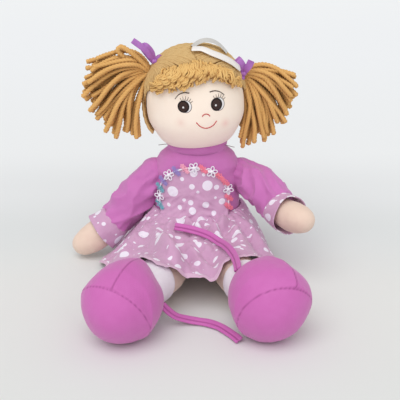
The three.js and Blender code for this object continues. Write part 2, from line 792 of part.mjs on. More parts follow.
// Yarn laid over the crown, the sides and the back of the head, open over the face
function hairCap() {
  const reach = 2 * headHalfWidth;
  const archRise = hairlineRise - eyeHeight;
  const outline = arc(16, (turn) => {
    const angle = (Math.PI / 2) * (1 - turn);
    return [faceHalfWidth * Math.cos(angle), hairlineHeight - archRise + archRise * Math.sin(angle)];
  });
  outline.unshift([-faceHalfWidth, headMiddle.z - headBelow - reach]);
  outline.push([faceHalfWidth, headMiddle.z - headBelow - reach]);
  const ends = [-reach, -earForward].map((y) => outline.map(([x, z]) => v(headMiddle.x + x, y, z)));
  return cut(
    headForm(hairThickness),
    headForm(gap),
    solidOf(ringForm(ends)),
    block(v(-reach, -reach, -reach), v(reach, reach, headMiddle.z - napeDrop)),
  );
}

function fringe() {
  const [rows, columns] = [4, 20];
  const places = (r, c) => {
    const [up, along] = [(2 * r) / rows - 1, (2 * c) / columns - 1];
    const middle = headMiddle.z + lerp(fringeMiddleRise, fringeEndRise, along ** 2);
    const curl = 0.12 * Math.sin(5 * Math.PI * along);
    const height = middle + (fringeWidth / 2) * (up + curl) * (1 - 0.35 * along ** 2);
    return [fringeHalfSpan * along * (1 - 0.12 * Math.max(0, up)), height, 1 - 0.75 * up ** 2];
  };
  const layer = (raised) => grid(rows, columns, (r, c) => {
    const [x, z, share] = places(r, c);
    return facePoint(x, z, hairThickness + 2 * gap + raised * fringeThickness * share);
  });
  return solidOf(sheetForm(layer(1), layer(0)));
}

const tieOf = (side) => v(tieReaches[side], 0, headMiddle.z + tieRises[side]);

// A bunch of yarn, tied at its root, that opens into a fan and hangs down beside the head
function pigtail(side) {
  const [from, to] = pigtailTurns[side];
  const root = tieOf(side).add(v(-sides[side] * pigtailRoot, 0, 0));
  const [rows, columns] = [6, 12];
  const layer = (face) => grid(rows, columns, (r, c) => {
    const [out, turn] = [r / rows, c / columns];
    const edge = (2 * turn - 1) ** 2;
    const spread = lerp(0.5, 1, out ** 0.6);
    const angle = degToRad((from + to) / 2 + (from - to) * (0.5 - turn) * spread);
    const reach = lerp(pigtailTopReach, pigtailBottomReach, turn ** 0.7) * (1 - 0.09 * edge ** 2);
    const radius = lerp(pigtailRoot / 2, reach, out);
    const full = lerp(pigtailRoot, pigtailHalfThickness, Math.sqrt(out)) * (1 - 0.3 * out ** 4);
    const half = full * Math.sqrt(1 - 0.92 * edge);
    return v(sides[side] * radius * Math.cos(angle), face * half, radius * Math.sin(angle)).add(root);
  });
  return cut(solidOf(sheetForm(layer(-1), layer(1))), headForm(hairThickness + gap));
}

// A strip of ribbon along a path, lying across the given direction; a closed path makes a loop
function ribbon(path, across, width, closed = false) {
  const lean = (i) => {
    const before = path[closed ? (i + path.length - 1) % path.length : Math.max(0, i - 1)];
    const after = path[closed ? (i + 1) % path.length : Math.min(path.length - 1, i + 1)];
    return after.clone().sub(before).cross(across).normalize();
  };
  const layer = (lift) => [-0.5, 0.5].map((edge) => path.map((point, i) => (
    point.clone().addScaledVector(across, edge * width).addScaledVector(lean(i), lift * ribbonThickness)
  )));
  return solidOf(sheetForm(layer(0.5), layer(-0.5), closed));
}

// A tied bow: two loops and a tail, each turned from the doll's left towards the crown
function bow(side) {
  const knot = tieOf(side).add(v(bowOutwards[side], -bowForward[side], bowRises[side]));
  const across = v(0, 1, 0);
  const turned = (degrees) => v(1, 0, 0).applyAxisAngle(v(0, -1, 0), degToRad(degrees));
  const loop = (degrees) => {
    const along = turned(degrees);
    const rise = new THREE.Vector3().crossVectors(along, across);
    return ribbon(arc(9, (turn) => {
      const out = (bowLoopLength / 2) * (1 + Math.cos(0.9 * Math.PI * turn)) + bowKnotRadius / 2;
      return knot.clone().addScaledVector(along, out)
        .addScaledVector(rise, (bowLoopHeight / 2) * Math.sin(0.9 * Math.PI * turn));
    }), across, bowRibbonWidth, true);
  };
  const tail = ribbon(arc(4, (turn) => {
    const share = (1 + turn) / 2;
    return knot.clone().addScaledVector(turned(bowTailTurns[side]), bowTailLength * share)
      .addScaledVector(v(0, 0, -1), bowTailSag * share ** 2);
  }), across, bowRibbonWidth);
  return cut(
    joined(ball(knot, bowKnotRadius, 8), ...bowLoopTurns[side].map(loop), tail),
    headForm(hairThickness + gap),
    pigtail(side),
  );
}

// The height of the hair over a place seen from above
function crownHeight(x, y, lift) {
  const [wide, deep] = [headHalfWidth + lift, headHalfDepth + lift];
  const out = Math.min(0.999, Math.hypot((x - headMiddle.x) / wide, (y - headMiddle.y) / deep));
  return headMiddle.z + (headAbove + lift) * (1 - out ** headFullness) ** (1 / headFullness);
}

// White ribbon over the crown: one flat layer on the hair, and one that stands up from it in a low arch
function crownRibbon() {
  const [steps, y] = [10, headMiddle.y - crownRibbonWidth / 2];
  const lift = hairThickness + 2 * gap + ribbonThickness;
  const layer = (rise) => arc(steps, (turn) => {
    const x = lerp(crownRibbonStart, crownRibbonEnd, (turn + 1) / 2);
    const arch = rise * crownRibbonRise * (1 - turn ** 2) ** 0.6;
    return v(x, y, crownHeight(x, y, lift) + ribbonThickness + arch);
  });
  const path = [...layer(0), ...layer(1).reverse().slice(1, -1)];
  return cut(ribbon(path, v(0, 1, 0), crownRibbonWidth, true), headForm(hairThickness + gap), bow('left'));
}

// Putting the doll together

const colours = {
  skin: 0xf6dfd0, yarn: 0xb9844f, fringe: 0xcd9c58, jersey: 0xc87bb9, dotted: 0xd4aac8, shoe: 0xca6db4,
  sock: 0xf3ecf2, purpleRibbon: 0x9a5a8a, whiteRibbon: 0xe6dcd2, eye: 0x3c2823, brow: 0x5a4636, red: 0xc8443c,
  lace: 0xf4f0f6,
};

function piece(name, solid, colour, roughness = 0.9) {
  const material = new THREE.MeshStandardMaterial({ color: colour, roughness, metalness: 0 });
  const mesh = new THREE.Mesh(geometryOf(solid), material);
  mesh.name = name;
  return mesh;
}

const doll = new THREE.Group();
doll.add(
  piece('torso', torso(), colours.skin),
  piece('neck', neck(), colours.skin),
  piece('bodice', bodice(), colours.jersey),
  piece('collar', collar(), colours.jersey),
  piece('bib', bib(), colours.dotted),
  piece('flower_trim', flowerTrim(), colours.lace),
  piece('skirt', skirt(), colours.dotted),
);
for (const side of Object.keys(sides)) {
  const panels = shoePanels(side);
  doll.add(
    piece(`${side}_arm`, arm(side), colours.skin),
    piece(`${side}_sleeve`, sleeve(side), colours.jersey),
    piece(`${side}_cuff`, cuff(side), colours.dotted),
    piece(`${side}_leg`, leg(side), colours.skin),
    piece(`${side}_sock`, sock(side), colours.sock),
    piece(`${side}_shoe_sole`, panels.sole, colours.shoe),
    piece(`${side}_shoe_inner`, panels.inner, colours.shoe),
    piece(`${side}_shoe_outer`, panels.outer, colours.shoe),
    piece(`${side}_strap`, strap(side), colours.shoe),
  );
}

const headGroup = new THREE.Group();
headGroup.add(
  piece('head', head(), colours.skin),
  piece('hair_cap', hairCap(), colours.yarn),
  piece('fringe', fringe(), colours.fringe),
  piece('nose_stitch', nose(), colours.red),
  piece('mouth_stitch', mouth(), colours.red),
  piece('crown_ribbon', crownRibbon(), colours.whiteRibbon, 0.4),
);
for (const side of Object.keys(sides)) {
  headGroup.add(
    piece(`${side}_eye`, eye(side), colours.eye, 0.5),
    piece(`${side}_brow`, brow(side), colours.brow),
    piece(`${side}_pigtail`, pigtail(side), colours.yarn),
    piece(`${side}_bow`, bow(side), colours.purpleRibbon, 0.4),
  );
}
for (const mesh of headGroup.children) mesh.geometry.translate(-neckPivot.x, -neckPivot.y, -neckPivot.z);
headGroup.position.copy(neckPivot);
headGroup.rotation.set(0, -headRoll, headTurn);
doll.add(headGroup);

export default doll;
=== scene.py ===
# A sitting rag doll: cloth body, thick yarn hair, dotted skirt and plush shoes.
# The frame is in metres: +Z is up, the doll looks along -Y and its own left is +X.
# Sizes and places in this file are in millimetres, and become metres where a mesh is made.

import math
import random

import bpy
import numpy as np
from mathutils import Matrix, Vector, noise


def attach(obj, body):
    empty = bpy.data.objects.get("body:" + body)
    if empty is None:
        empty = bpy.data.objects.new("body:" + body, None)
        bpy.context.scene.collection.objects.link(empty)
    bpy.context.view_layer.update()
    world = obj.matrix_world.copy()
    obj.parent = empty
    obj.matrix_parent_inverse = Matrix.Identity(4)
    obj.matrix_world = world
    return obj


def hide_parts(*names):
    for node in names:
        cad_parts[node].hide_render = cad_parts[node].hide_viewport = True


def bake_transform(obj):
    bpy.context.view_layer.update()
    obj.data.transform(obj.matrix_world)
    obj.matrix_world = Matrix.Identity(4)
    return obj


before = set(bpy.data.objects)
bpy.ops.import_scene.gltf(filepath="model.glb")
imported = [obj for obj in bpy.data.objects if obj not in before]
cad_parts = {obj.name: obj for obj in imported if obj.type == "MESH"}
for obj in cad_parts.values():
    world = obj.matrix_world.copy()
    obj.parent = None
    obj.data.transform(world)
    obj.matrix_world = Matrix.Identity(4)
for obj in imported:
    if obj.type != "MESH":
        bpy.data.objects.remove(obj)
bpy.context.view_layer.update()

MM = 0.001
SIDES = {"left": 1, "right": -1}
random.seed(7)

# Camera

CAMERA_PLACE = Vector((3.0, -894.5, 421.1))
CAMERA_TARGET = Vector((3.0, -60.0, 84.0))
scene = bpy.context.scene
camera_data = bpy.data.cameras.new("camera")
camera = bpy.data.objects.new("camera", camera_data)
scene.collection.objects.link(camera)
camera.location = CAMERA_PLACE * MM
camera.rotation_euler = (CAMERA_TARGET - CAMERA_PLACE).to_track_quat("-Z", "Y").to_euler()
camera_data.lens = 82.7
camera_data.sensor_width = 36.0
camera_data.clip_start = 0.05
camera_data.clip_end = 20.0
scene.camera = camera
scene.view_settings.view_transform = "Standard"


# Lines, tables and meshes

def unit(vectors):
    """A vector, or each of several, at length one."""
    return vectors / np.linalg.norm(vectors, axis=-1, keepdims=True)


def turns(count):
    """Angles evenly round a circle."""
    return np.linspace(0, 2 * math.pi, count, endpoint=False)


def signed(angle):
    """Angles from minus to plus half a turn."""
    return np.arctan2(np.sin(angle), np.cos(angle))


def bell(distance, width):
    """A soft bump, one in the middle and almost gone at twice its width."""
    return np.exp(-(distance / width) ** 2)


def length_of(line):
    return float(np.linalg.norm(np.diff(line, axis=0), axis=1).sum())


def directions_along(line):
    return unit(np.gradient(line, axis=0))


def between(wanted, along, values):
    """Points or directions at wanted distances along a line."""
    return np.column_stack([np.interp(wanted, along, values[:, k]) for k in range(3)])


def resampled(line, count):
    """The same line through evenly spaced points."""
    line = np.asarray(line, float)
    along = np.concatenate([[0.0], np.cumsum(np.linalg.norm(np.diff(line, axis=0), axis=1))])
    return between(np.linspace(0.0, along[-1], count), along, line)


def cubic(t, start, start_slope, end, end_slope):
    """The smooth curve between two values with a slope at each."""
    return ((2 * t ** 3 - 3 * t ** 2 + 1) * start + (t ** 3 - 2 * t ** 2 + t) * start_slope
            + (3 * t ** 2 - 2 * t ** 3) * end + (t ** 3 - t ** 2) * end_slope)


def smooth_line(places, count=200):
    """A smooth curve through the places."""
    places = np.asarray(places, float)
    ends = np.vstack([2 * places[0] - places[1], places, 2 * places[-1] - places[-2]])
    t = np.linspace(0.0, 1.0, 30, endpoint=False)[:, None]
    dense = []
    for p0, p1, p2, p3 in zip(ends, ends[1:], ends[2:], ends[3:]):
        d0, d1, d2 = (math.sqrt(np.linalg.norm(b - a)) for a, b in ((p0, p1), (p1, p2), (p2, p3)))
        m1 = ((p1 - p0) / d0 - (p2 - p0) / (d0 + d1) + (p2 - p1) / d1) * d1
        m2 = ((p2 - p1) / d1 - (p3 - p1) / (d1 + d2) + (p3 - p2) / d2) * d1
        dense.append(cubic(t, p1, m1, p2, m2))
    return resampled(np.vstack(dense + [places[-1:]]), count)


def smooth_table(table, wanted):
    """Values of a table of pairs, with a smooth curve that doesn't overshoot."""
    x, y = np.array(table, float).T
    slope = np.diff(y) / np.diff(x)
    product = slope[1:] * slope[:-1]
    inner = np.where(product > 0, 2 * product / (slope[1:] + slope[:-1] + 1e-12), 0.0)
    m = np.concatenate([slope[:1], inner, slope[-1:]])
    wanted = np.clip(wanted, x[0], x[-1])
    k = np.clip(np.searchsorted(x, wanted) - 1, 0, len(x) - 2)
    h = x[k + 1] - x[k]
    return cubic((wanted - x[k]) / h, y[k], h * m[k], y[k + 1], h * m[k + 1])


def grid_faces(rows, columns, wrapped=False, first=0):
    """Four-sided faces between rows of points."""
    r, c = np.meshgrid(np.arange(rows - 1), np.arange(columns if wrapped else columns - 1), indexing="ij")
    d = (c + 1) % columns
    below = (r + 1) * columns
    quads = np.stack([r * columns + c, r * columns + d, below + d, below + c], axis=-1)
    return (quads.reshape(-1, 4) + first).tolist()


def fan_faces(ring, middle, turned):
    """Three-sided faces from a ring of points to its middle."""
    pairs = zip(ring, ring[1:] + ring[:1])
    return [(middle, b, a) if turned else (middle, a, b) for a, b in pairs]


def closed_rings(rings):
    """Points and faces of a closed form through rings, with a fan at each end."""
    rings = np.asarray(rings, float)
    rows, columns = rings.shape[:2]
    total = rows * columns
    faces = grid_faces(rows, columns, wrapped=True) + fan_faces(list(range(columns)), total, True)
    faces += fan_faces(list(range(total - columns, total)), total + 1, False)
    return np.vstack([rings.reshape(-1, 3), rings[0].mean(0), rings[-1].mean(0)]), faces


def gathered(parts):
    """Several sets of points and faces as one, with the part that each face comes from."""
    points, faces, index = [], [], []
    for k, (some_points, some_faces) in enumerate(parts):
        first = len(points)
        points += [list(p) for p in some_points]
        faces += [tuple(i + first for i in face) for face in some_faces]
        index += [k] * len(some_faces)
    return points, faces, index


def outward(points, faces):
    """The points and faces of a closed form, with the faces turned to look out of it."""
    points = np.asarray(points, float)
    total = 0.0
    for face in faces:
        for k in range(1, len(face) - 1):
            total += np.dot(points[face[0]], np.cross(points[face[k]], points[face[k + 1]]))
    return points, [tuple(reversed(f)) for f in faces] if total < 0 else faces


def lay_print(data, flat):
    """Says where each point lies in the flat of the cloth."""
    corners = np.zeros(len(data.loops), np.int32)
    data.loops.foreach_get("vertex_index", corners)
    places = (np.asarray(flat, float) * MM)[corners]
    data.uv_layers.new(name="UVMap").data.foreach_set("uv", places.ravel())


def make_mesh(name, points, faces, *stuff, flat=None, index=None):
    """A smooth shaded object from points in millimetres."""
    data = bpy.data.meshes.new(name)
    data.from_pydata((np.asarray(points, float) * MM).tolist(), [], faces)
    for one in stuff:
        data.materials.append(one)
    if flat is not None:
        lay_print(data, flat)
    if index is not None:
        data.polygons.foreach_set("material_index", np.asarray(index, np.int32))
    data.polygons.foreach_set("use_smooth", np.ones(len(data.polygons), bool))
    data.update()
    thing = bpy.data.objects.new(name, data)
    scene.collection.objects.link(thing)
    return thing


def solid(name, rings, stuff):
    """A closed form through rings."""
    return make_mesh(name, *outward(*closed_rings(rings)), stuff)


def thickened(thing, thickness, offset=-1.0):
    """Gives a sheet its thickness."""
    shell = thing.modifiers.new("thickness", "SOLIDIFY")
    shell.thickness = thickness * MM
    shell.offset = offset
    return thing


def open_cloth(name, rings, stuff, thickness, offset=-1.0, flat=None):
    """A sheet through rings, open at both ends."""
    rings = np.asarray(rings)
    faces = grid_faces(*rings.shape[:2], wrapped=True)
    return thickened(make_mesh(name, rings.reshape(-1, 3), faces, stuff, flat=flat), thickness, offset)


def finer(thing):
    smooth = thing.modifiers.new("finer", "SUBSURF")
    smooth.levels = smooth.render_levels = 1


def paint_seam_shade(thing, shares):
    """Says how deep in a seam or crease each point is, for the painted shade there."""
    shade_in_seams = thing.data.attributes.new("seam", "FLOAT", "POINT")
    shade_in_seams.data.foreach_set("value", np.asarray(shares, np.float32))


def placed(thing, body, nodes):
    """Rides on a body and stands for its CAD nodes."""
    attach(thing, body)
    if nodes:
        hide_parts(*nodes)


def wobble(point, scale, seed=0.0):
    """Smooth noise from -1 to 1 at a place, for a given size of its features."""
    return noise.noise(Vector(np.asarray(point) / scale + seed * np.array([1, -1, 0.5])))


def noise_at(*place):
    return noise.noise(Vector(place))


def crease(*place):
    """Cloth relief: soft swells that meet in narrow valleys, from -1 to 1."""
    return 1.0 - 2.0 * abs(noise_at(*place)) ** 0.8


# Materials

def linear(colour):
    """A colour written as it is seen, as the shader needs it."""
    shares = [c / 255.0 for c in colour]
    return [s / 12.92 if s <= 0.04045 else ((s + 0.055) / 1.055) ** 2.4 for s in shares] + [1.0]


def set_inputs(tree, node, inputs):
    """Sets each input of a node to a value, or links it to a socket."""
    for name, value in inputs.items():
        if isinstance(value, bpy.types.NodeSocket):
            tree.links.new(value, node.inputs[name])
        else:
            node.inputs[name].default_value = value


def add_node(tree, kind, inputs, **settings):
    node = tree.nodes.new("ShaderNode" + kind)
    for name, value in settings.items():
        setattr(node, name, value)
    set_inputs(tree, node, inputs)
    return node


def coordinates(tree, flat):
    return add_node(tree, "TexCoord", {}).outputs["UV" if flat else "Object"]


def noise_value(tree, where, size, detail=3.0):
    """A noise texture with features of a size in millimetres."""
    inputs = {"Vector": where, "Scale": 1.0 / (size * MM), "Detail": detail}
    return add_node(tree, "TexNoise", inputs).outputs["Fac"]


def bands(tree, where, direction, period):
    """Threads that run across a direction, a given number of millimetres apart."""
    inputs = {"Vector": where, "Scale": math.pi / (10.0 * period * MM), "Distortion": 0.6, "Detail": 1.0}
    return add_node(tree, "TexWave", inputs, bands_direction=direction).outputs["Fac"]


def maths(tree, kind, *values):
    return add_node(tree, "Math", dict(enumerate(values)), operation=kind).outputs[0]


def distance_from(tree, flat, place):
    """The distance from a place in metres."""
    inputs = {0: coordinates(tree, flat), 1: place}
    return add_node(tree, "VectorMath", inputs, operation="DISTANCE").outputs["Value"]


def limited(tree, value):
    return add_node(tree, "Clamp", {"Value": value}).outputs[0]


def mixed(tree, share, first, second):
    """Blends two colours by a share."""
    inputs = {"Factor": share, "A": first, "B": second}
    return add_node(tree, "Mix", inputs, data_type="RGBA").outputs["Result"]


def tinted(made, share, tone):
    """Blends a tone into the colour that a material has, by a share."""
    tree = made.node_tree
    colour = tree.nodes["Principled BSDF"].inputs["Base Color"]
    tree.links.new(mixed(tree, share, colour.links[0].from_socket, linear(tone)), colour)
    return made


def bumped(tree, height, depth, **under):
    """Relief of a depth in millimetres."""
    return add_node(tree, "Bump", {"Distance": depth * MM, "Height": height, **under}).outputs["Normal"]


def cloth(name, light, dark, roughness=0.9, sheen=0.25, thread=0.9, thread_depth=0.12, crumple=0.25,
          flat=False, sheen_tint=(1.0, 1.0, 1.0, 1.0), specular=0.25):
    """Woven or knitted cloth: two shades that drift into each other, threads and a little crumpling."""
    made = bpy.data.materials.new(name)
    made.use_nodes = True
    tree = made.node_tree
    where = coordinates(tree, flat)
    drift = maths(tree, "MULTIPLY", noise_value(tree, where, 9.0, 4.0), 0.7)
    fibres = maths(tree, "MULTIPLY", noise_value(tree, where, 0.7, 2.0), 0.3)
    threads = [bands(tree, where, direction, thread) for direction in ("X", "Y" if flat else "Z")]
    crumpled = bumped(tree, noise_value(tree, where, 6.0), crumple)
    set_inputs(tree, tree.nodes["Principled BSDF"], {
        "Base Color": mixed(tree, maths(tree, "ADD", drift, fibres), linear(dark), linear(light)),
        "Normal": bumped(tree, maths(tree, "MULTIPLY", *threads), thread_depth, Normal=crumpled),
        "Roughness": roughness, "Specular IOR Level": specular,
        "Sheen Weight": sheen, "Sheen Roughness": 0.5, "Sheen Tint": sheen_tint,
    })
    return made


# How wide the edge of a spot is, as a share of its cell
SPOT_EDGE = 0.03


def spots(tree, cell, smallest, spread, shift, randomness):
    """Round spots of different sizes in the flat of the cloth, as a share from 0 to 1."""
    where = add_node(tree, "VectorMath", {0: coordinates(tree, True), 1: (shift, shift, 0.0)}).outputs[0]
    inputs = {"Vector": where, "Scale": 1.0 / (cell * MM), "Randomness": randomness}
    node = add_node(tree, "TexVoronoi", inputs, voronoi_dimensions="2D")
    chance = add_node(tree, "SeparateColor", {"Color": node.outputs["Color"]}).outputs[0]
    radius = maths(tree, "ADD", maths(tree, "MULTIPLY", chance, spread), smallest)
    inside = maths(tree, "SUBTRACT", radius, node.outputs["Distance"])
    return limited(tree, maths(tree, "DIVIDE", inside, SPOT_EDGE))


COTTON = dict(thread=0.6, thread_depth=0.06, crumple=0.6, roughness=0.7, specular=0.35, flat=True)
DOT_COLOUR = (240, 234, 246)
DOT_EDGE = 0.3
# Middle and radius of each dot on the bib
BIB_DOTS = [
    (-24.5, 81.8, 5.6), (10.5, 89.7, 5.4), (-5.1, 88.7, 3.0), (19.6, 87.0, 2.8), (6.7, 101.1, 1.9),
    (-3.3, 102.6, 4.0), (0.9, 83.2, 1.8), (-13.1, 74.4, 2.0), (-6.4, 71.6, 2.9), (-4.6, 63.6, 3.8),
    (8.8, 69.5, 3.6), (25.2, 71.2, 3.4), (18.6, 75.8, 1.5), (-28.7, 67.0, 2.0), (20.6, 100.6, 2.8),
    (-17.5, 66.0, 2.4), (-15.0, 96.0, 2.2), (17.0, 60.5, 2.6),
]


def dotted_cloth(name, few, many):
    """Printed cotton: white dots, a few of them large."""
    made = cloth(name, (212, 168, 200), (196, 150, 184), **COTTON)
    tree = made.node_tree
    return tinted(made, maths(tree, "MAXIMUM", spots(tree, *few), spots(tree, *many)), DOT_COLOUR)


def bib_cotton():
    """The dotted cotton of the bib, with each dot in its place."""
    made = cloth("bib_cotton", (214, 170, 202), (198, 152, 186), **COTTON)
    tree = made.node_tree
    share = 0.0
    for x, z, radius in BIB_DOTS:
        away = distance_from(tree, True, (x * MM, z * MM, 0.0))
        inside = maths(tree, "DIVIDE", maths(tree, "SUBTRACT", radius * MM, away), DOT_EDGE * MM)
        share = maths(tree, "MAXIMUM", share, inside)
    return tinted(made, limited(tree, share), DOT_COLOUR)


def shoe_cloth():
    """Smooth jersey, with painted shade in its sunken seams."""
    made = cloth("shoe_cloth", (206, 109, 184), (197, 94, 172), roughness=0.62, thread=1.2, thread_depth=0.1,
                 crumple=0.2, specular=0.45)
    # Painted shade: the seam attribute darkens the sunken seams towards this tone.
    shade_in_seams = add_node(made.node_tree, "Attribute", {}, attribute_name="seam").outputs["Fac"]
    return tinted(made, maths(made.node_tree, "MULTIPLY", shade_in_seams, 0.75), (140, 44, 116))


def yarn(name, light, middle, dark):
    """Soft spun wool with fine fibres."""
    made = cloth(name, light, middle, roughness=0.95, sheen=0.5, thread=0.8, thread_depth=0.0, crumple=0.35,
                 sheen_tint=linear(light), specular=0.1)
    tree = made.node_tree
    patch = noise_value(tree, coordinates(tree, False), 22.0, 2.0)
    return tinted(made, maths(tree, "MULTIPLY", patch, 0.55), dark)


def painted_hollow_shade(made, tone, reach, strength=0.8):
    """Paints shade into the narrow hollows between strands, where ambient occlusion finds them."""
    tree = made.node_tree
    node = add_node(tree, "AmbientOcclusion", {"Distance": reach * MM}, samples=6)
    closed = maths(tree, "SUBTRACT", 1.0, maths(tree, "POWER", node.outputs["AO"], 1.3))
    return tinted(made, maths(tree, "MULTIPLY", closed, strength), tone)


def satin(name, light, dark):
    """Ribbon with a soft shine and fine cross threads."""
    made = cloth(name, light, dark, roughness=0.35, sheen=0.1, thread=0.35, thread_depth=0.03, crumple=0.1,
                 specular=0.6)
    made.node_tree.nodes["Principled BSDF"].inputs["Anisotropic"].default_value = 0.5
    return made


def thread_stuff(name, light, dark):
    """Embroidery thread."""
    return cloth(name, light, dark, roughness=0.6, sheen=0.1, thread=0.45, thread_depth=0.06, crumple=0.05)


SKIN = cloth("skin_cloth", (255, 243, 229), (252, 235, 218), sheen=0.2, thread=0.7, thread_depth=0.05,
             crumple=0.1)
HAND_SKIN = cloth("hand_cloth", (236, 213, 197), (228, 200, 182), sheen=0.2, thread=0.7, thread_depth=0.06,
                  crumple=0.2)
JERSEY = cloth("purple_jersey", (207, 127, 191), (196, 112, 179), crumple=0.35)
SHOE_CLOTH = shoe_cloth()
SOCK_CLOTH = cloth("sock_cloth", (245, 240, 245), (232, 226, 234), thread=1.2, thread_depth=0.2, crumple=0.2)
DOTTED = dotted_cloth("dotted_cotton", (17.5, 0.07, 0.25, 0.37, 0.35), (11.0, -0.12, 0.36, 0.81, 0.5))
CUFF_COTTON = dotted_cloth("cuff_cotton", (15.5, 0.06, 0.26, 0.37, 0.5), (9.5, -0.06, 0.28, 0.81, 0.7))
BIB_COTTON = bib_cotton()
HEM_CLOTH = cloth("hem_cloth", (226, 192, 216), (210, 170, 198), thread=0.6, thread_depth=0.06, flat=True)
# Painted shade: the yarns below are darkened in the hollows between their strands.
YARN = painted_hollow_shade(yarn("yarn", (244, 198, 130), (228, 176, 106), (206, 152, 84)), (118, 70, 34), 6.0, 0.7)
CROWN_YARN = painted_hollow_shade(yarn("crown_yarn", (228, 198, 144), (214, 178, 122), (194, 154, 98)),
                            (132, 88, 44), 2.0)
FRINGE_YARN = painted_hollow_shade(yarn("fringe_yarn", (250, 214, 148), (234, 190, 118), (212, 160, 88)),
                             (150, 92, 40), 3.5, 0.75)
# Painted shade: the cap yarn is darker than the strands, for the shade in the gaps between them.
SHADED_CAP_YARN = yarn("shaded_cap_yarn", (204, 160, 104), (188, 142, 86), (166, 120, 68))
# Painted shade and sheen: the darker purple stands for shade and the lighter for sheen. They drift into each
# other in random patches.
PURPLE_SATIN = satin("purple_satin", (196, 128, 210), (124, 54, 140))
WHITE_SATIN = satin("white_satin", (246, 242, 238), (226, 220, 216))
# Painted shade: a greyer copy of the white satin, for the shaded inner side of the standing loop.
SHADED_SATIN = satin("shaded_satin", (214, 212, 208), (186, 183, 178))
EYE_THREAD = thread_stuff("eye_thread", (70, 48, 42), (44, 28, 25))
EYE_RING = thread_stuff("eye_ring_thread", (34, 22, 20), (24, 15, 14))
EYE_WHITE = thread_stuff("eye_white_thread", (246, 244, 242), (226, 226, 228))
GREY_THREAD = thread_stuff("grey_thread", (150, 140, 136), (118, 108, 104))
BROW_THREAD = thread_stuff("brow_thread", (92, 72, 62), (62, 46, 40))
RED_THREAD = thread_stuff("red_thread", (214, 82, 84), (188, 52, 60))

# The trunk: a table of heights with the half width and half depth as shares

TORSO_HEIGHT, TORSO_HALF_WIDTH, TORSO_HALF_DEPTH = 122.0, 50.0, 38.0
TORSO_SHARES = np.array([
    (0, 0.8, 0.74), (0.025, 0.92, 0.9), (0.1, 1, 1), (0.2, 1, 1), (0.33, 0.92, 0.93), (0.45, 0.84, 0.87),
    (0.61, 0.8, 0.85), (0.75, 0.82, 0.83), (0.85, 0.8, 0.79), (0.92, 0.71, 0.72), (0.97, 0.56, 0.62),
    (1, 0.3, 0.4),
])
JERSEY_THICKNESS, GAP = 2.5, 0.3
NECK = np.array([0.0, 2.0, 128.0])
NECK_RADIUS, RIM_RADIUS = 19.8, 29.5


def upright_ring(wide, deep, z, angles, back=0.0):
    """Points round an upright form at a height, from its front towards the doll's left."""
    return np.column_stack([wide * np.sin(angles), back - deep * np.cos(angles), np.zeros(len(angles)) + z])


def torso_size(z):
    """Half width and half depth of the trunk at a height."""
    level = np.clip(np.asarray(z, float) / TORSO_HEIGHT, 0.0, 1.0)
    wide, deep = (np.interp(level, TORSO_SHARES[:, 0], TORSO_SHARES[:, k]) for k in (1, 2))
    return TORSO_HALF_WIDTH * wide, TORSO_HALF_DEPTH * deep


def torso_ring(z, lift, angles):
    wide, deep = torso_size(z)
    return upright_ring(wide + lift, deep + lift, z, angles)


def torso_front(x, z, lift):
    """The point of the trunk's front at a place seen from the front."""
    wide, deep = torso_size(z)
    across = min(abs(x) / (wide + lift), 0.99)
    return np.array([x, -(deep + lift) * math.sqrt(1 - across ** 2), z])


# Limbs: the middle line of each, in shares of its length from the shoulder or hip

ARM_LENGTH, LEG_LENGTH = 121.0, 126.0
SHOULDER, HIP = (44.0, 0.0, 90.0), (22.0, -28.0, 22.0)
ARM_SHARES = {
    "left": [(0.182, -0.182, -0.066), (0.339, -0.4, -0.182), (0.537, -0.702, -0.17)],
    "right": [(-0.198, -0.033, -0.24), (-0.4, -0.066, -0.462), (-0.705, -0.124, -0.668)],
}
LEG_SHARES = {
    "left": [(0.063, -0.333, 0.016), (0.143, -0.683, 0.04), (0.222, -0.952, 0.095)],
    "right": [(-0.024, -0.333, 0.016), (-0.079, -0.635, 0.04), (-0.198, -0.952, 0.095)],
}


def limb_line(side, start, length, shares):
    start = np.array(start) * (SIDES[side], 1, 1)
    return [start] + [start + length * np.array(s) for s in shares[side]]


ARM_LINES = {side: limb_line(side, SHOULDER, ARM_LENGTH, ARM_SHARES) for side in SIDES}
LEG_LINES = {side: limb_line(side, HIP, LEG_LENGTH, LEG_SHARES) for side in SIDES}


def limb_rings(line, table, steps, rings, flatten=1.0, relief=None):
    """Rings round a smooth line. The table gives the radius at shares of its length, past its ends too."""
    curve = smooth_line(line, 240)
    length = length_of(curve)
    along = np.linspace(table[0][0], table[-1][0], rings) * length
    radius = smooth_table([(share * length, r) for share, r in table], along)
    at = np.clip(along / length, 0.0, 1.0) * (len(curve) - 1)
    middle, tangent = (between(at, np.arange(len(curve)), v) for v in (curve, directions_along(curve)))
    tangent = unit(tangent)
    middle += tangent * (along - np.clip(along, 0.0, length))[:, None]
    side = unit(np.array([1.0, 0.0, 0.0]) - tangent[:, :1] * tangent)
    up = np.cross(tangent, side)
    angles = turns(steps)
    out = np.cos(angles)[:, None] * side[:, None] + flatten * np.sin(angles)[:, None] * up[:, None]
    made = middle[:, None] + out * radius[:, None, None]
    for k in range(rings if relief else 0):
        push = np.array([relief(along[k], a, p) for a, p in zip(angles, made[k])])
        made[k] += out[k] * (push * min(1.0, radius[k] / 6.0))[:, None]
    return made


def bumpy(*bumps):
    """Relief of soft bumps: the height, size and seed of each."""
    return lambda along, angle, point: sum(tall * wobble(point, size, seed) for tall, size, seed in bumps)


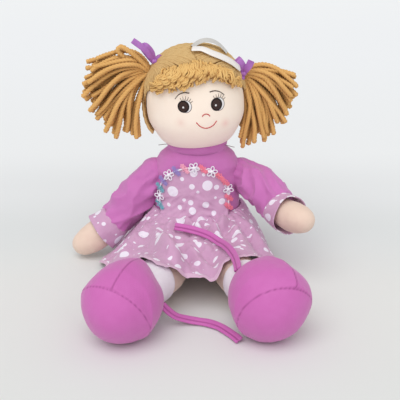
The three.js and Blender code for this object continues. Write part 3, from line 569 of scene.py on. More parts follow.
def make_arm(side):
    """The stuffed arm under the sleeve, with its blunt hand."""
    table = [(0.3, 13.0), (0.5, 13.4), (0.58, 13.6), (0.66, 14.8), (0.76, 15.6), (0.84, 14.9), (0.89, 13.5),
             (0.93, 11.8), (0.965, 9.0), (0.988, 5.6), (0.998, 2.6), (1.0, 0.1)]
    rings = limb_rings(ARM_LINES[side], table, 48, 80, 0.96, bumpy((0.35, 9.0, 3.0), (0.15, 4.0, 5.0)))
    made = solid(f"{side}_arm_skin", rings, HAND_SKIN)
    placed(made, f"{side}_arm", [f"{side}_arm"])


def make_sleeve(side):
    """A full jersey sleeve, gathered at the shoulder and creased at the elbow."""
    seed = 11.0 if side == "left" else 23.0

    def relief(along, angle, point):
        front, up = math.cos(angle), math.sin(angle)
        bend = bell(along - 40, 15) * (0.5 - 0.5 * up)
        elbow = 2.2 * bend * math.sin(along / 2.9 + 1.4 * up + seed)
        long_folds = 3.2 * crease(along / 26.0 + 0.7 * front + seed, 1.3 * front, 1.3 * up + seed) - 1.8
        fine = 0.5 * noise_at(along / 7.0 + seed, 3.0 * front, 3.0 * up)
        gathers = 0.7 * bell(along - 4, 9) * math.sin(11 * angle + seed)
        fade = min(1.0, max(0.0, (along + 4) / 16))
        return (elbow + long_folds + fine) * fade + gathers * (0.5 + 0.5 * up)

    cap = [(-0.138 * math.cos(t), 16.5 * math.sin(t)) for t in np.linspace(0.12, math.pi / 2, 8)]
    table = cap + [(0.1, 17.2), (0.24, 19.4), (0.38, 19.3), (0.47, 18.4), (0.548, 17.9), (0.56, 15.8)]
    made = solid(f"{side}_sleeve_cloth", limb_rings(ARM_LINES[side], table, 96, 120, 1.0, relief), JERSEY)
    placed(made, f"{side}_arm", [f"{side}_sleeve"])


def make_cuff(side):
    """A wide dotted cuff that opens round the wrist."""
    def relief(along, angle, point):
        open_end = max(0.0, (along - 66) / 18)
        return 1.1 * math.sin(4 * angle + along / 6) * open_end + 0.5 * wobble(point, 8.0, 2.0)

    table = [(0.53, 15.6), (0.545, 18.0), (0.6, 18.7), (0.66, 19.3), (0.715, 20.3)]
    rings = limb_rings(ARM_LINES[side], table, 72, 30, 1.0, relief)
    around = turns(72) * 18.4 + 400 * (side == "left")
    flat = [(a, 0.62 * r) for r in range(30) for a in around]
    made = open_cloth(f"{side}_cuff_cloth", rings, CUFF_COTTON, 1.0, flat=flat)
    placed(made, f"{side}_arm", [f"{side}_cuff"])


def make_leg(side):
    table = [(-0.16, 0.5), (-0.15, 8.0), (-0.11, 15.0), (-0.05, 19.0), (0.05, 19.8), (0.2, 18.0),
             (0.32, 19.2), (0.45, 20.3), (0.65, 20.0), (0.85, 18.8), (0.97, 18.2), (1.03, 15.0), (1.06, 6.0)]
    rings = limb_rings(LEG_LINES[side], table, 48, 60, 1.0, bumpy((0.5, 14.0, 8.0), (0.15, 5.0, 1.0)))
    made = solid(f"{side}_leg_skin", rings, HAND_SKIN)
    placed(made, f"{side}_leg", [f"{side}_leg"])


def make_sock(side):
    table = [(0.825, 19.6), (0.83, 20.7), (0.85, 21.0), (0.88, 20.8), (0.97, 20.2), (1.02, 19.4),
             (1.06, 17.0)]
    rings = limb_rings(LEG_LINES[side], table, 56, 20, 1.0, bumpy((0.35, 8.0, 6.0)))
    made = open_cloth(f"{side}_sock_cloth", rings, SOCK_CLOTH, 0.8)
    placed(made, f"{side}_leg", [f"{side}_sock"])


# Shoes

SHOE_HALF_WIDTH, SHOE_HALF_HEIGHT, SHOE_DEPTH = 34.5, 37.5, 70.0
SHOE_FLATTEN = SHOE_HALF_HEIGHT / SHOE_HALF_WIDTH
SHOE_TABLE = [(along, SHOE_HALF_WIDTH * share) for along, share in [
    (0, 0.5), (0.04, 0.66), (0.14, 0.84), (0.28, 0.95), (0.45, 1), (0.62, 0.98), (0.78, 0.85), (0.9, 0.62),
    (0.97, 0.38), (1, 0.18), (1.005, 0.01),
]]
SHOE_LINES = {
    "left": [(0, -0.014, 0.01), (0.12, -0.3, 0.035), (0.215, -0.58, 0.045), (0.265, -0.93, 0.05)],
    "right": [(0, -0.014, 0.01), (-0.17, -0.329, 0.035), (-0.31, -0.629, 0.045), (-0.38, -1, 0.05)],
}
SOLE_CENTRES = {"left": (0.229, -0.714, 0.114), "right": (-0.314, -0.757, 0.171)}
SOLE_FACING = {"left": (0.21, -0.907, -0.365), "right": (-0.395, -0.796, -0.456)}
TOE_FACING = {"left": (0.717, -0.305, 0.627), "right": (-0.215, -0.663, 0.718)}
# Where each shoe is fuller or flatter than its table says: place, width and height in millimetres
SHOE_SWELLS = {"left": ((98, -178, 50), 20.0, 4.5), "right": ((-33, -165, 55), 17.0, -5.0)}
SHOE_FLOOR = 0.35


def shoe_line(side):
    return [LEG_LINES[side][-1] + SHOE_DEPTH * np.array(s) for s in SHOE_LINES[side]]


def make_shoe(side):
    """A stuffed shoe of three flat-cut panels, which meet in ridges with a sunken seam."""
    centre = LEG_LINES[side][-1] + SHOE_DEPTH * np.array(SOLE_CENTRES[side])
    sole = unit(np.array(SOLE_FACING[side]))
    seam = unit(np.cross(sole, np.array(TOE_FACING[side])))

    def relief(along, angle, point):
        past, beside = np.dot(point - centre, sole), np.dot(point - centre, seam)
        upper = 1.0 if past < 0 and point[2] > 30 else 0.0
        ridge = 2.4 * math.exp(-abs(past) / 7.0) + 3.0 * upper * math.exp(-abs(beside) / 7.0)
        groove = bell(past, 0.9) + upper * bell(beside, 0.9)
        pucker = 0.16 * bell(past, 3.0) * math.sin(beside / 0.8)
        place, width, height = SHOE_SWELLS[side]
        soft = 0.8 * wobble(point, 24.0, 4.0) + 0.25 * wobble(point, 9.0, 9.0)
        soft += height * bell(math.dist(point, place), width)
        return soft + ridge - 1.6 - 0.55 * min(1.0, groove) + pucker

    rings = limb_rings(shoe_line(side), SHOE_TABLE, 200, 170, SHOE_FLATTEN, relief)
    low = rings[..., 2] - SHOE_FLOOR - 2.0
    rings[..., 2] = np.where(low < 0, SHOE_FLOOR + 2.0 * np.exp(low / 2.0), rings[..., 2])
    made = solid(f"{side}_shoe", rings, SHOE_CLOTH)
    # Painted shade along the sunken seams, stronger at each stitch.
    points = closed_rings(rings)[0]
    past, beside = (points - centre) @ sole, (points - centre) @ seam
    stitches = 0.65 + 0.35 * np.sin(beside / 0.55)
    toe = np.where((past < 0) & (points[:, 2] > 30), bell(beside, 0.6), 0.0)
    paint_seam_shade(made, np.maximum(bell(past, 0.6) * stitches, toe))
    placed(made, f"{side}_leg", [f"{side}_shoe_{part}" for part in ("sole", "inner", "outer")])


# Straps: flat folded strips with a crease along the middle

STRAP_WIDTH, STRAP_THICKNESS, STRAP_LIFT = 8.0, 2.8, 3.4
# Where the crease runs, as a share of half the width
STRAP_CREASE = 0.2
STRAP_LEAN = {"left": math.radians(42), "right": math.radians(26)}
STRAP_ROUTES = {
    "left": [
        (37, -153, 54.5), (36.5, -144, 55.5), (35.5, -134, 55.5), (34, -124, 55), (30.5, -110, 54.5),
        (26, -97, 53), (20, -85, 51.5), (12, -75, 50.5), (2, -68, 50.5), (-9, -64, 51), (-22, -62, 51),
    ],
    "right": [
        (-31, -158, 21), (-25, -158.5, 14.5), (-18, -158, 9), (-9, -156.5, 5.5), (0, -156.5, 3.6),
        (10, -159.5, 2.2), (19, -165, 1.9), (27, -174, 1.9), (34, -184, 1.9), (37.5, -190, 1.9),
    ],
}


def make_strap(side):
    """A strap along its route, lifted where it lies on the skirt."""
    route = [(x, y, max(z, cloth_height(x, y) + STRAP_LIFT)) for x, y, z in STRAP_ROUTES[side]]
    line = smooth_line(route, 110)
    lean = STRAP_LEAN[side]
    around = turns(48)
    rings = []
    for middle, tangent in zip(line, directions_along(line)):
        flat = unit(np.cross(tangent, (0.0, 0.0, 1.0)))
        flat *= -np.sign(flat[1])
        high = np.cross(flat, tangent)
        high *= np.sign(high[2])
        across = flat * math.cos(lean) - high * math.sin(lean)
        up = high * math.cos(lean) + flat * math.sin(lean)
        for turn in around:
            wide = math.cos(turn)
            fold = 0.85 * bell(wide - STRAP_CREASE, 0.14)
            tall = math.copysign(abs(math.sin(turn)) ** 0.5, math.sin(turn)) * (1 - fold)
            puff = 1.0 + 0.07 * wobble(middle + across * wide, 9.0, 5.0)
            point = middle + across * wide * STRAP_WIDTH / 2 * puff + up * tall * STRAP_THICKNESS / 2
            rings.append((point[0], point[1], max(point[2], 0.3)))
    made = solid(f"{side}_strap_cloth", np.reshape(rings, (len(line), 48, 3)), SHOE_CLOTH)
    # Painted shade along the crease of the folded strap.
    paint_seam_shade(made, np.resize(bell(np.cos(around) - STRAP_CREASE, 0.12), len(made.data.vertices)))
    placed(made, f"{side}_leg", [f"{side}_strap"])


for side in SIDES:
    make_arm(side)
    make_sleeve(side)
    make_cuff(side)
    make_leg(side)
    make_sock(side)
    make_shoe(side)
trunk_heights = [0.4] + list(np.linspace(1.5, 119, 48)) + [120.5]
placed(solid("trunk", [torso_ring(z, 0.0, turns(64)) for z in trunk_heights], SKIN), "torso", ["torso"])


# Clothes on the trunk

def make_bodice():
    """The jersey top, from under the skirt to the collar."""
    angles = turns(160)
    rings = []
    for z in np.linspace(50.5, 118.5, 60):
        ring = torso_ring(z, JERSEY_THICKNESS + GAP, angles)
        near_arm = bell(np.abs(ring[:, 0]) - 38, 9) * bell(z - 82, 22)
        pull = 1.2 * near_arm * np.sin(z / 2.8 + 2.0 * np.abs(angles))
        soft = [0.8 * noise_at(2.2 * math.cos(a), 2.2 * math.sin(a), z / 26) for a in angles]
        rings.append(ring + upright_ring(1, 1, 0, angles) * (pull + soft)[:, None])
    for share, z in ((0.35, 119.5), (0.7, 120.2), (1.0, 120.6)):
        rim = upright_ring(RIM_RADIUS, RIM_RADIUS, z, angles, NECK[1])
        ring = rings[59] * (1 - share) + rim * share
        ring[:, 2] = z
        rings.append(ring)
    placed(open_cloth("bodice_cloth", rings, JERSEY, 1.2), "torso", ["bodice"])


def make_collar():
    """A folded band of jersey round the neck."""
    angles = turns(128)
    section = [(29.4, 119), (30.6, 122), (31.0, 126), (30.8, 130), (30.3, 132.2), (29.4, 133.0),
               (28.6, 132.0), (28.3, 129), (28.2, 122), (28.3, 116)]
    rings = []
    for radius, z in section:
        soft = np.array([0.35 * noise_at(3 * math.cos(a), 3 * math.sin(a), z / 9) for a in angles])
        rings.append(upright_ring(radius + soft, radius + soft, z + 0.6 * soft, angles, NECK[1]))
    made = open_cloth("collar_cloth", rings, JERSEY, 0.4, 0.0)
    finer(made)
    placed(made, "torso", ["collar"])


def make_neck():
    rings = []
    for turn in np.linspace(-0.48 * math.pi, 0.48 * math.pi, 20):
        reach, rise = NECK_RADIUS * math.cos(turn), NECK_RADIUS * math.sin(turn)
        rings.append(upright_ring(reach, reach, NECK[2] + rise, turns(40), NECK[1]))
    placed(solid("neck_skin", rings, SKIN), "neck", ["neck"])


BIB_HALF_WIDTH, BIB_BOTTOM, BIB_TOP, BIB_CENTRE, BIB_ARCH = 35.0, 59.5, 108.0, -3.0, 0.62
BIB_HEIGHT = BIB_TOP - BIB_BOTTOM
BIB_LIFT = JERSEY_THICKNESS + 4 * GAP
BIB_TUCK = 8.0


def make_bib():
    """The dotted front, slack near the waist, with slanting folds there. It goes on under the skirt."""
    steps = 60
    points, flat = [], []
    for r in range(steps + 1):
        rise = (BIB_HEIGHT + BIB_TUCK) * math.sin(r / steps * 0.5 * math.pi)
        z = BIB_BOTTOM - BIB_TUCK + rise
        over = max(0.0, ((z - BIB_BOTTOM) / BIB_HEIGHT - (1 - BIB_ARCH)) / BIB_ARCH)
        half = BIB_HALF_WIDTH * math.sqrt(max(0.0, 1 - over ** 2))
        low = max(0.0, 1 - rise / 40)
        flare = 0.05 * max(0.0, 66 - z) ** 1.8
        for c in range(steps + 1):
            x = BIB_CENTRE + half * (2 * c / steps - 1)
            fold = crease(x / 13, (0.5 * abs(x - 1) + z) / 6.5, 4.0) - 0.5
            soft = 0.5 * noise_at(x / 12, z / 12, 9.0)
            points.append(torso_front(x, z, BIB_LIFT + 1.2 + 1.2 * low + flare + 3.0 * low * fold + soft))
            flat.append((x, z))
    made = make_mesh("bib_cloth", points, grid_faces(steps + 1, steps + 1), BIB_COTTON, flat=flat)
    thickened(made, 0.9)
    placed(made, "torso", ["bib"])


make_bodice()
make_collar()
make_neck()
make_bib()

# Skirt

SKIRT_TOP, WAIST_FULLNESS = 57.0, 3.4
HEM_LIFT, HEM_FRONT_LIFT, HEM_REACH, HEM_LEAN = 1.2, 22.0, 134.0, 0.11
HEM_SHARES = np.array([0.944, 1, 0.86, 0.71, 0.6, 0.57, 0.57, 0.572, 0.572])
FULLNESS, UNDER_ARM_FULLNESS, LAP_SLACK = 0.7, 1.5, 0.55
FOLD_COUNT, FOLD_DEPTH, LAP_CLEARANCE, LEG_RADIUS = 14, 3.2, 3.2, 20.5
LEG_SPINES = np.vstack([smooth_line(line, 25) for line in LEG_LINES.values()])
ROWS, COLUMNS, HEM_ROWS = 54, 288, 4
FALL_FRAMES, SPARE_CLOTH = 16, 0.11
# Folds of the lap: angle and share at both ends, height and half width
LAP_FOLDS = [
    (-0.62, 0.25, 0.02, 0.93, 5.4, 0.055), (-0.5, 0.1, -0.2, 0.62, 4.0, 0.05),
    (0.05, 0.05, -0.03, 0.5, 5.0, 0.045), (0.3, 0.08, 0.12, 0.6, 4.2, 0.05),
    (0.65, 0.2, 0.42, 0.75, 4.0, 0.06), (-0.95, 0.25, -0.75, 0.85, 4.0, 0.06),
    (0.95, 0.2, 0.85, 0.9, 4.2, 0.06), (-0.34, 0.5, -0.06, 0.97, 5.0, 0.045),
    (-0.12, 0.5, 0.16, 0.95, 4.6, 0.045), (0.22, 0.32, -0.35, 0.02, 4.6, 0.045),
    (0.22, 0.3, 0.7, 0.02, 4.6, 0.045), (0.2, 0.3, 0.12, 0.0, 3.8, 0.04),
    (0.12, 0.26, 0.08, 0.5, 4.2, 0.04), (0.28, 0.26, 0.34, 0.48, 4.0, 0.04),
]


def hem_radius(angle):
    last = len(HEM_SHARES) - 1
    turn = np.abs(signed(angle)) / math.pi * last
    k = np.minimum(np.floor(turn).astype(int), last - 1)
    share = (1 - np.cos(math.pi * (turn - k))) / 2
    reach = HEM_SHARES[k] * (1 - share) + HEM_SHARES[k + 1] * share
    return HEM_REACH * reach * (1 - HEM_LEAN * np.sin(angle))


def lap_height(x, y):
    """How high the cloth passes over the legs, with a slack valley between them."""
    leg_x, leg_y, leg_z = LEG_SPINES.T
    x, y = x[..., None], y[..., None]
    across = np.hypot(x - leg_x, y - leg_y) / (LEG_RADIUS + 2 * LAP_CLEARANCE)
    inside = np.sign(leg_x) * (leg_x - x) > 0
    shoulder = math.sqrt(1 - LAP_SLACK ** 2)
    slope = shoulder - (across - LAP_SLACK) * LAP_SLACK / shoulder
    share = np.where(inside & (across > LAP_SLACK), slope, np.sqrt(np.clip(1 - across ** 2, 0, 1)))
    return np.where((share > 0) | inside, leg_z + (LEG_RADIUS + LAP_CLEARANCE) * share, 0).max(-1)


def skirt_surface(angle, share):
    """Points of the skirt at angles from its front and shares of the way to its hem."""
    wide, deep = (half + JERSEY_THICKNESS + WAIST_FULLNESS for half in torso_size(SKIRT_TOP))
    waist = 1 / np.hypot(np.sin(angle) / wide, np.cos(angle) / deep)
    fold = np.sin(FOLD_COUNT * angle + 0.6 * np.sin(3 * angle))
    reach = waist + (hem_radius(angle) - waist) * share ** 0.9 + FOLD_DEPTH * share * fold
    x, y = reach * np.sin(angle), -reach * np.cos(angle)
    lowest = HEM_LIFT + HEM_FRONT_LIFT * np.clip(np.cos(angle), 0, 1) ** 2
    fall = FULLNESS + (UNDER_ARM_FULLNESS - FULLNESS) * np.clip(-np.sin(angle), 0, 1) ** 6
    wave = 0.5 * FOLD_DEPTH * share * (1 - share) * (1 + fold)
    free = lowest + (SKIRT_TOP - lowest) * (1 - share) ** fall + wave
    over = lap_height(x, y)
    blend = np.clip(1 - np.abs(free - over) / (5 * LAP_CLEARANCE), 0, 1)
    z = np.maximum(np.maximum(free, over), HEM_LIFT + 1.2) + LAP_CLEARANCE * blend ** 2
    return np.stack([x, y, z], -1)


def cloth_height(x, y):
    """The height of the skirt under a place, or zero past its hem."""
    angle, reach = np.array(math.atan2(x, -y)), math.hypot(x, y)
    if reach > hem_radius(angle) + FOLD_DEPTH:
        return 0.0
    near, far = 0.0, 1.0
    for _ in range(16):
        middle = (near + far) / 2
        inside = math.hypot(*skirt_surface(angle, np.array(middle))[:2]) < reach
        near, far = (middle, far) if inside else (near, middle)
    return float(skirt_surface(angle, np.array(near))[2])


def places_of(data):
    """The places of a mesh's points, in metres."""
    places = np.zeros(3 * len(data.vertices), np.float32)
    data.vertices.foreach_get("co", places)
    return places.reshape(-1, 3)


def settle(thing, held, bodies, frames, spare):
    """Lets a sheet with spare cloth sink into folds over the bodies under it."""
    group = thing.vertex_groups.new(name="held")
    for index, weight in enumerate(held):
        group.add([index], float(weight), "REPLACE")
    fall = thing.modifiers.new("fall", "CLOTH")
    for name, value in dict(vertex_group_mass="held", quality=5, mass=0.12, tension_stiffness=12,
                            compression_stiffness=12, shear_stiffness=4, bending_stiffness=0.05,
                            pin_stiffness=1.0, shrink_min=-spare).items():
        setattr(fall.settings, name, value)
    fall.settings.effector_weights.gravity = 0.35
    fall.collision_settings.distance_min = 1.2 * MM
    fall.collision_settings.collision_quality = 2
    fall.point_cache.frame_start = 1
    fall.point_cache.frame_end = frames
    for body in bodies:
        body.modifiers.new("solid", "COLLISION")
        body.collision.thickness_outer = 1.0 * MM
        body.collision.cloth_friction = 40
    for k in range(1, frames + 1):
        scene.frame_set(k)
    fallen = thing.evaluated_get(bpy.context.evaluated_depsgraph_get())
    places = places_of(fallen.to_mesh())
    fallen.to_mesh_clear()
    thing.modifiers.remove(fall)
    scene.frame_set(1)
    thing.data.vertices.foreach_set("co", places.ravel())
    thing.data.update()
    for body in bodies:
        bpy.data.objects.remove(body)


def skirt_bodies():
    """Rough stand-ins for all that the skirt rests on."""
    leg = [(-0.1, 12), (0.0, 19.8), (0.4, 20.6), (0.8, 21.4), (1.0, 21.4)]
    arm = [(0.0, 16), (0.3, 19.5), (0.69, 19.5), (0.75, 15.6), (0.9, 13), (1.0, 3)]
    forms = []
    for side in SIDES:
        forms.append(limb_rings(LEG_LINES[side], leg, 24, 24))
        forms.append(limb_rings(shoe_line(side), SHOE_TABLE, 24, 16, SHOE_FLATTEN))
        forms.append(limb_rings(ARM_LINES[side], arm, 20, 20))
    forms.append([torso_ring(z, 3.0, turns(40)) for z in np.linspace(1, 110, 24)])
    floor = [(x, y, 0.3) for y in np.linspace(-320, 200, 9) for x in np.linspace(-260, 260, 9)]
    bodies = [make_mesh("stand_in", *closed_rings(rings), SKIN) for rings in forms]
    return bodies + [make_mesh("stand_in", floor, grid_faces(9, 9), SKIN)]


def strap_distance(angle, share):
    """How far places of the skirt are from the strap that lies on it."""
    places = skirt_surface(angle, share)[..., None, :2]
    return np.linalg.norm(places - smooth_line(STRAP_ROUTES["left"], 60)[:, :2], axis=-1).min(-1)


def skirt_folds(angle, share):
    """Height of the creases and crumples that the lap of the skirt lies in."""
    height = np.zeros_like(angle)
    turned = signed(angle)
    for a0, s0, a1, s1, tall, half in LAP_FOLDS:
        run = np.array([(a1 - a0) * 0.75, s1 - s0])
        away = np.stack([(turned - a0) * 0.75, share - s0], -1)
        along = np.clip((away @ run) / (run @ run), 0, 1)
        miss = np.linalg.norm(away - along[..., None] * run, axis=-1)
        fade = np.sin(math.pi * np.clip(along * 0.9 + 0.08, 0, 1))
        height += tall * fade * (bell(miss, half) - 0.55 * bell(miss - 1.9 * half, half))
    crumples = [crease(2.2 * a, 5.0 * s + 0.8 * abs(a), 3.0) for a, s in zip(turned.ravel(), share.ravel())]
    ripple = np.sin(23 * turned + 3 * np.sin(4 * turned)) * bell(share - 1, 0.12)
    across = np.sin(math.pi * np.clip(share * 1.1, 0, 1))
    height += 2.3 * np.reshape(crumples, angle.shape) * across + 1.5 * ripple
    near_strap = np.exp(-(strap_distance(angle, share) / 9.0) ** 4)
    height -= near_strap * (np.maximum(height, 0.0) + 0.8)
    under_arm = bell(np.abs(turned) - 1.35, 0.4)
    return height - under_arm * (0.8 * np.maximum(height, 0.0) + np.sin(math.pi * share))


def hem_growth(angle):
    """How far the hem reaches past its even curve, over the legs."""
    grown = 11.0 * bell(signed(angle) + 0.17, 0.16) + 10.0 * bell(signed(angle) - 0.13, 0.09)
    return grown * np.clip((strap_distance(angle, np.ones_like(angle)) - 7) / 8, 0, 1)


def make_skirt():
    """A gathered sheet of dotted cotton, from the waist seam over the legs to the hem."""
    share, angle = np.meshgrid(np.linspace(0, 1, ROWS), turns(COLUMNS), indexing="ij")
    points = skirt_surface(angle, share)
    gather = np.sin(44 * angle + 2.5 * np.sin(5 * angle)) * np.exp(-share / 0.2)
    out = np.stack([np.sin(angle), -np.cos(angle), np.zeros_like(angle)], -1)
    front = np.clip((np.cos(angle) - 0.5) / 0.3, 0, 1)
    points += out * (0.9 * gather - (2.4 + 1.2 * front) * bell(share, 0.05))[..., None]
    points[..., 2] += 0.8 * gather * np.exp(-share / 0.2) * (1 - front)
    before = lap_height(points[..., 0], points[..., 1])
    points += out * (hem_growth(angle[0]) * share ** 3)[..., None]
    points[..., 2] += lap_height(points[..., 0], points[..., 1]) - before
    folds = skirt_folds(angle, share)
    points[..., 2] += 0.6 * folds
    valley = bell(np.abs(points[..., 0] - 1) - 13, 7) * np.clip((share - 0.5) / 0.4, 0, 1)
    points[..., 2] -= 5.5 * valley * (np.cos(angle) > 0)
    index = np.repeat(np.arange(ROWS - 1) >= ROWS - HEM_ROWS, COLUMNS)
    made = make_mesh("skirt_cloth", points.reshape(-1, 3), grid_faces(ROWS, COLUMNS, True), DOTTED, HEM_CLOTH,
                     index=index)
    held = np.where(share < 0.04, 1.0, 0.74 - 0.1 * share).ravel()
    settle(made, held, skirt_bodies(), FALL_FRAMES, SPARE_CLOTH)
    places = places_of(made.data)
    places[:, 2] += np.maximum(0.9 * folds, -1.8).ravel() * MM
    made.data.vertices.foreach_set("co", places.ravel())
    steps = np.linalg.norm(np.diff(places.reshape(ROWS, COLUMNS, 3), axis=0), axis=-1) / MM
    down = 42.0 + np.vstack([np.zeros((1, COLUMNS)), np.cumsum(steps, axis=0)])
    down = np.mean([np.roll(down, k, axis=1) for k in range(-14, 15)], axis=0)
    turned = 0.8 * signed(angle)
    lay_print(made.data, np.stack([down * np.sin(turned), -down * np.cos(turned)], -1).reshape(-1, 2))
    thickened(made, 0.7)
    finer(made)
    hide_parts("skirt")
    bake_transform(made)


make_skirt()
for side in SIDES:
    make_strap(side)

# Head

HEAD = np.array([0.0, -3.0, 163.0])
HEAD_HALF_WIDTH, HEAD_HALF_DEPTH, HEAD_ABOVE, HEAD_BELOW, HEAD_FULLNESS = 49.0, 42.0, 59.0, 44.0, 2.3
HEAD_MATRIX = np.array(
    Matrix.Translation(NECK) @ Matrix.Rotation(-math.radians(3), 4, "Y")
    @ Matrix.Rotation(math.radians(4), 4, "Z") @ Matrix.Translation(-Vector(NECK))
)
HAIR_THICKNESS = 4.2


def tilted(points):
    """Points of the upright head, turned and tilted as the head is."""
    return np.asarray(points, float) @ HEAD_MATRIX[:3, :3].T + HEAD_MATRIX[:3, 3]


def head_mesh(name, points, faces, *stuff, index=None):
    return make_mesh(name, tilted(points), faces, *stuff, index=index)


def head_size(z):
    """Half width and half depth of the head at a height."""
    level = np.asarray(z, float) - HEAD[2]
    taper = 1 - 0.055 * bell(level + 24, 11)
    level = np.clip(np.abs(level / np.where(level > 0, HEAD_ABOVE, HEAD_BELOW)), 0, 0.999)
    share = (1 - level ** HEAD_FULLNESS) ** (1 / HEAD_FULLNESS)
    return HEAD_HALF_WIDTH * share * taper, HEAD_HALF_DEPTH * share


def face_point(x, z, lift):
    """The point of the face at a place seen from the front, lifted off the surface."""
    under = z
    for _ in range(3):
        under = z - lift * (under - HEAD[2]) / (HEAD_ABOVE if under > HEAD[2] else HEAD_BELOW)
    wide, deep = head_size(under)
    across = min(abs(x) / (wide + lift), 0.98)
    return np.array([HEAD[0] + x, HEAD[1] - (deep + lift) * math.sqrt(1 - across ** 2), z])


def on_head(direction, lift):
    """The point of the head's surface in a direction from its middle, lifted."""
    x, y, z = direction = unit(direction)
    flat = math.hypot(x / HEAD_HALF_WIDTH, y / HEAD_HALF_DEPTH)
    tall = abs(z / (HEAD_ABOVE if z > 0 else HEAD_BELOW))
    return HEAD + direction * ((flat ** HEAD_FULLNESS + tall ** HEAD_FULLNESS) ** (-1 / HEAD_FULLNESS) + lift)


def face_cloth():
    """The cloth of the face, with two faint round blushes."""
    made = SKIN.copy()
    made.name = "face_cloth"
    tree = made.node_tree
    for x, z, strength, tone in ((-16.9, 158.5, 0.30, (226, 170, 160)), (26.5, 153.5, 0.42, (240, 168, 164))):
        away = distance_from(tree, False, tilted([face_point(x, z, 0)])[0] * MM)
        fade = maths(tree, "SUBTRACT", 1.0, maths(tree, "DIVIDE", away, 8.0 * MM))
        soft = maths(tree, "POWER", maths(tree, "MAXIMUM", fade, 0.0), 1.6)
        tinted(made, maths(tree, "MULTIPLY", soft, strength), tone)
    return made


def make_head():
    angles = turns(128)
    heights = HEAD[2] + np.concatenate([
        -HEAD_BELOW * np.sin(np.linspace(0.92, 0, 34)), HEAD_ABOVE * np.sin(np.linspace(0.05, 1.555, 44)),
    ])
    wide, deep = head_size(heights[0])
    rings = [upright_ring(wide - inset, deep - inset, heights[0] + rise - 0.9, angles, HEAD[1])
             for inset, rise in ((6.0, 6.0), (4.2, 1.6), (2.2, 0.3))]
    for z in heights:
        ring = upright_ring(*head_size(z), z, angles, HEAD[1])
        soft = np.array([0.35 * wobble(p, 24.0, 2.0) for p in ring])
        rings.append(ring + upright_ring(1, 1, 0, angles) * soft[:, None])
    made = head_mesh("head_skin", *outward(*closed_rings(rings)), face_cloth())
    placed(made, "head", ["head"])


# Face: discs and strokes sewn on the head

def disc(x, z, radius, lift, dome, tall=1.0, lean=0.0, rings=8, steps=36):
    """Points and faces of a thin raised disc on the face."""
    points = [face_point(x, z, lift + dome)]
    for r in range(1, rings + 2):
        share = min(1.0, r / rings)
        height = lift + dome * (1 - share ** 2) ** 0.5 if r <= rings else 0.05
        for a in turns(steps):
            dx, dz = radius * share * math.cos(a), radius * tall * share * math.sin(a)
            points.append(face_point(x + dx * math.cos(lean) - dz * math.sin(lean),
                                     z + dx * math.sin(lean) + dz * math.cos(lean), height))
    faces = [(0, 1 + k, 1 + (k + 1) % steps) for k in range(steps)]
    return points, faces + grid_faces(rings + 1, steps, True, 1)


def stroke(places, width, lift=0.35, taper=(1.0, 1.0), count=20):
    """Points and faces of a raised line of stitches through places on the face."""
    line = smooth_line([(x, z, 0.0) for x, z in places], count)
    rings = []
    for k, ((x, z, _), slope) in enumerate(zip(line, directions_along(line))):
        share = k / (count - 1)
        bead = 1 + 0.12 * math.sin(2 * math.pi * k / 3)
        full = width / 2 * ((1 - share) * taper[0] + share * taper[1]) * bead
        rings.append([face_point(x - slope[1] * full * math.cos(t), z + slope[0] * full * math.cos(t),
                                 0.1 + lift * (0.5 + 0.5 * math.sin(t))) for t in turns(8)])
    return closed_rings(rings)


EYES = {
    "right": dict(x=-13.6, z=174.6, tall=1.06, lean=0.0, glint=(-13.9, 174.0)),
    "left": dict(x=18.4, z=174.2, tall=1.14, lean=0.15, glint=(17.6, 173.6)),
}
# Discs of an eye: place from its middle, radius, lift and dome
EYE_DISCS = [
    (2.2, -0.1, 5.85, 0.12, 0.05), (2.1, 0.0, 5.4, 0.2, 0.1), (0.0, 0.0, 5.6, 0.3, 0.25),
    (-0.1, -0.1, 4.3, 0.6, 0.2),
]
EYE_STUFF = [GREY_THREAD, EYE_WHITE, EYE_RING, EYE_THREAD, EYE_WHITE]
LASHES = 6
# Brows, nose and mouth: node, name, width, thread, slot, taper and places
STROKES = [
    ("right_brow", "right_brow_stitch", 0.95, BROW_THREAD, "brow_thread", (0.6, 1.1),
     [(-21.2, 181.9), (-17.6, 185.9), (-12.2, 187.9), (-7.3, 187.4)]),
    ("left_brow", "left_brow_stitch", 0.95, BROW_THREAD, "brow_thread", (1.1, 0.6),
     [(12.4, 186.9), (17.6, 187.3), (22.6, 185.4), (26.6, 181.9)]),
    ("nose_stitch", "nose_line", 0.95, RED_THREAD, "red_thread", (1.0, 1.0),
     [(3.7, 164.1), (5.4, 165.7), (7.6, 166.2), (9.8, 165.4), (11.3, 163.6)]),
    ("mouth_stitch", "mouth_line", 1.0, RED_THREAD, "red_thread", (1.0, 1.0),
     [(-2.3, 158.6), (0.6, 154.9), (4.6, 152.3), (8.4, 151.7), (12.6, 152.9), (15.8, 155.4), (17.6, 158.0)]),
]


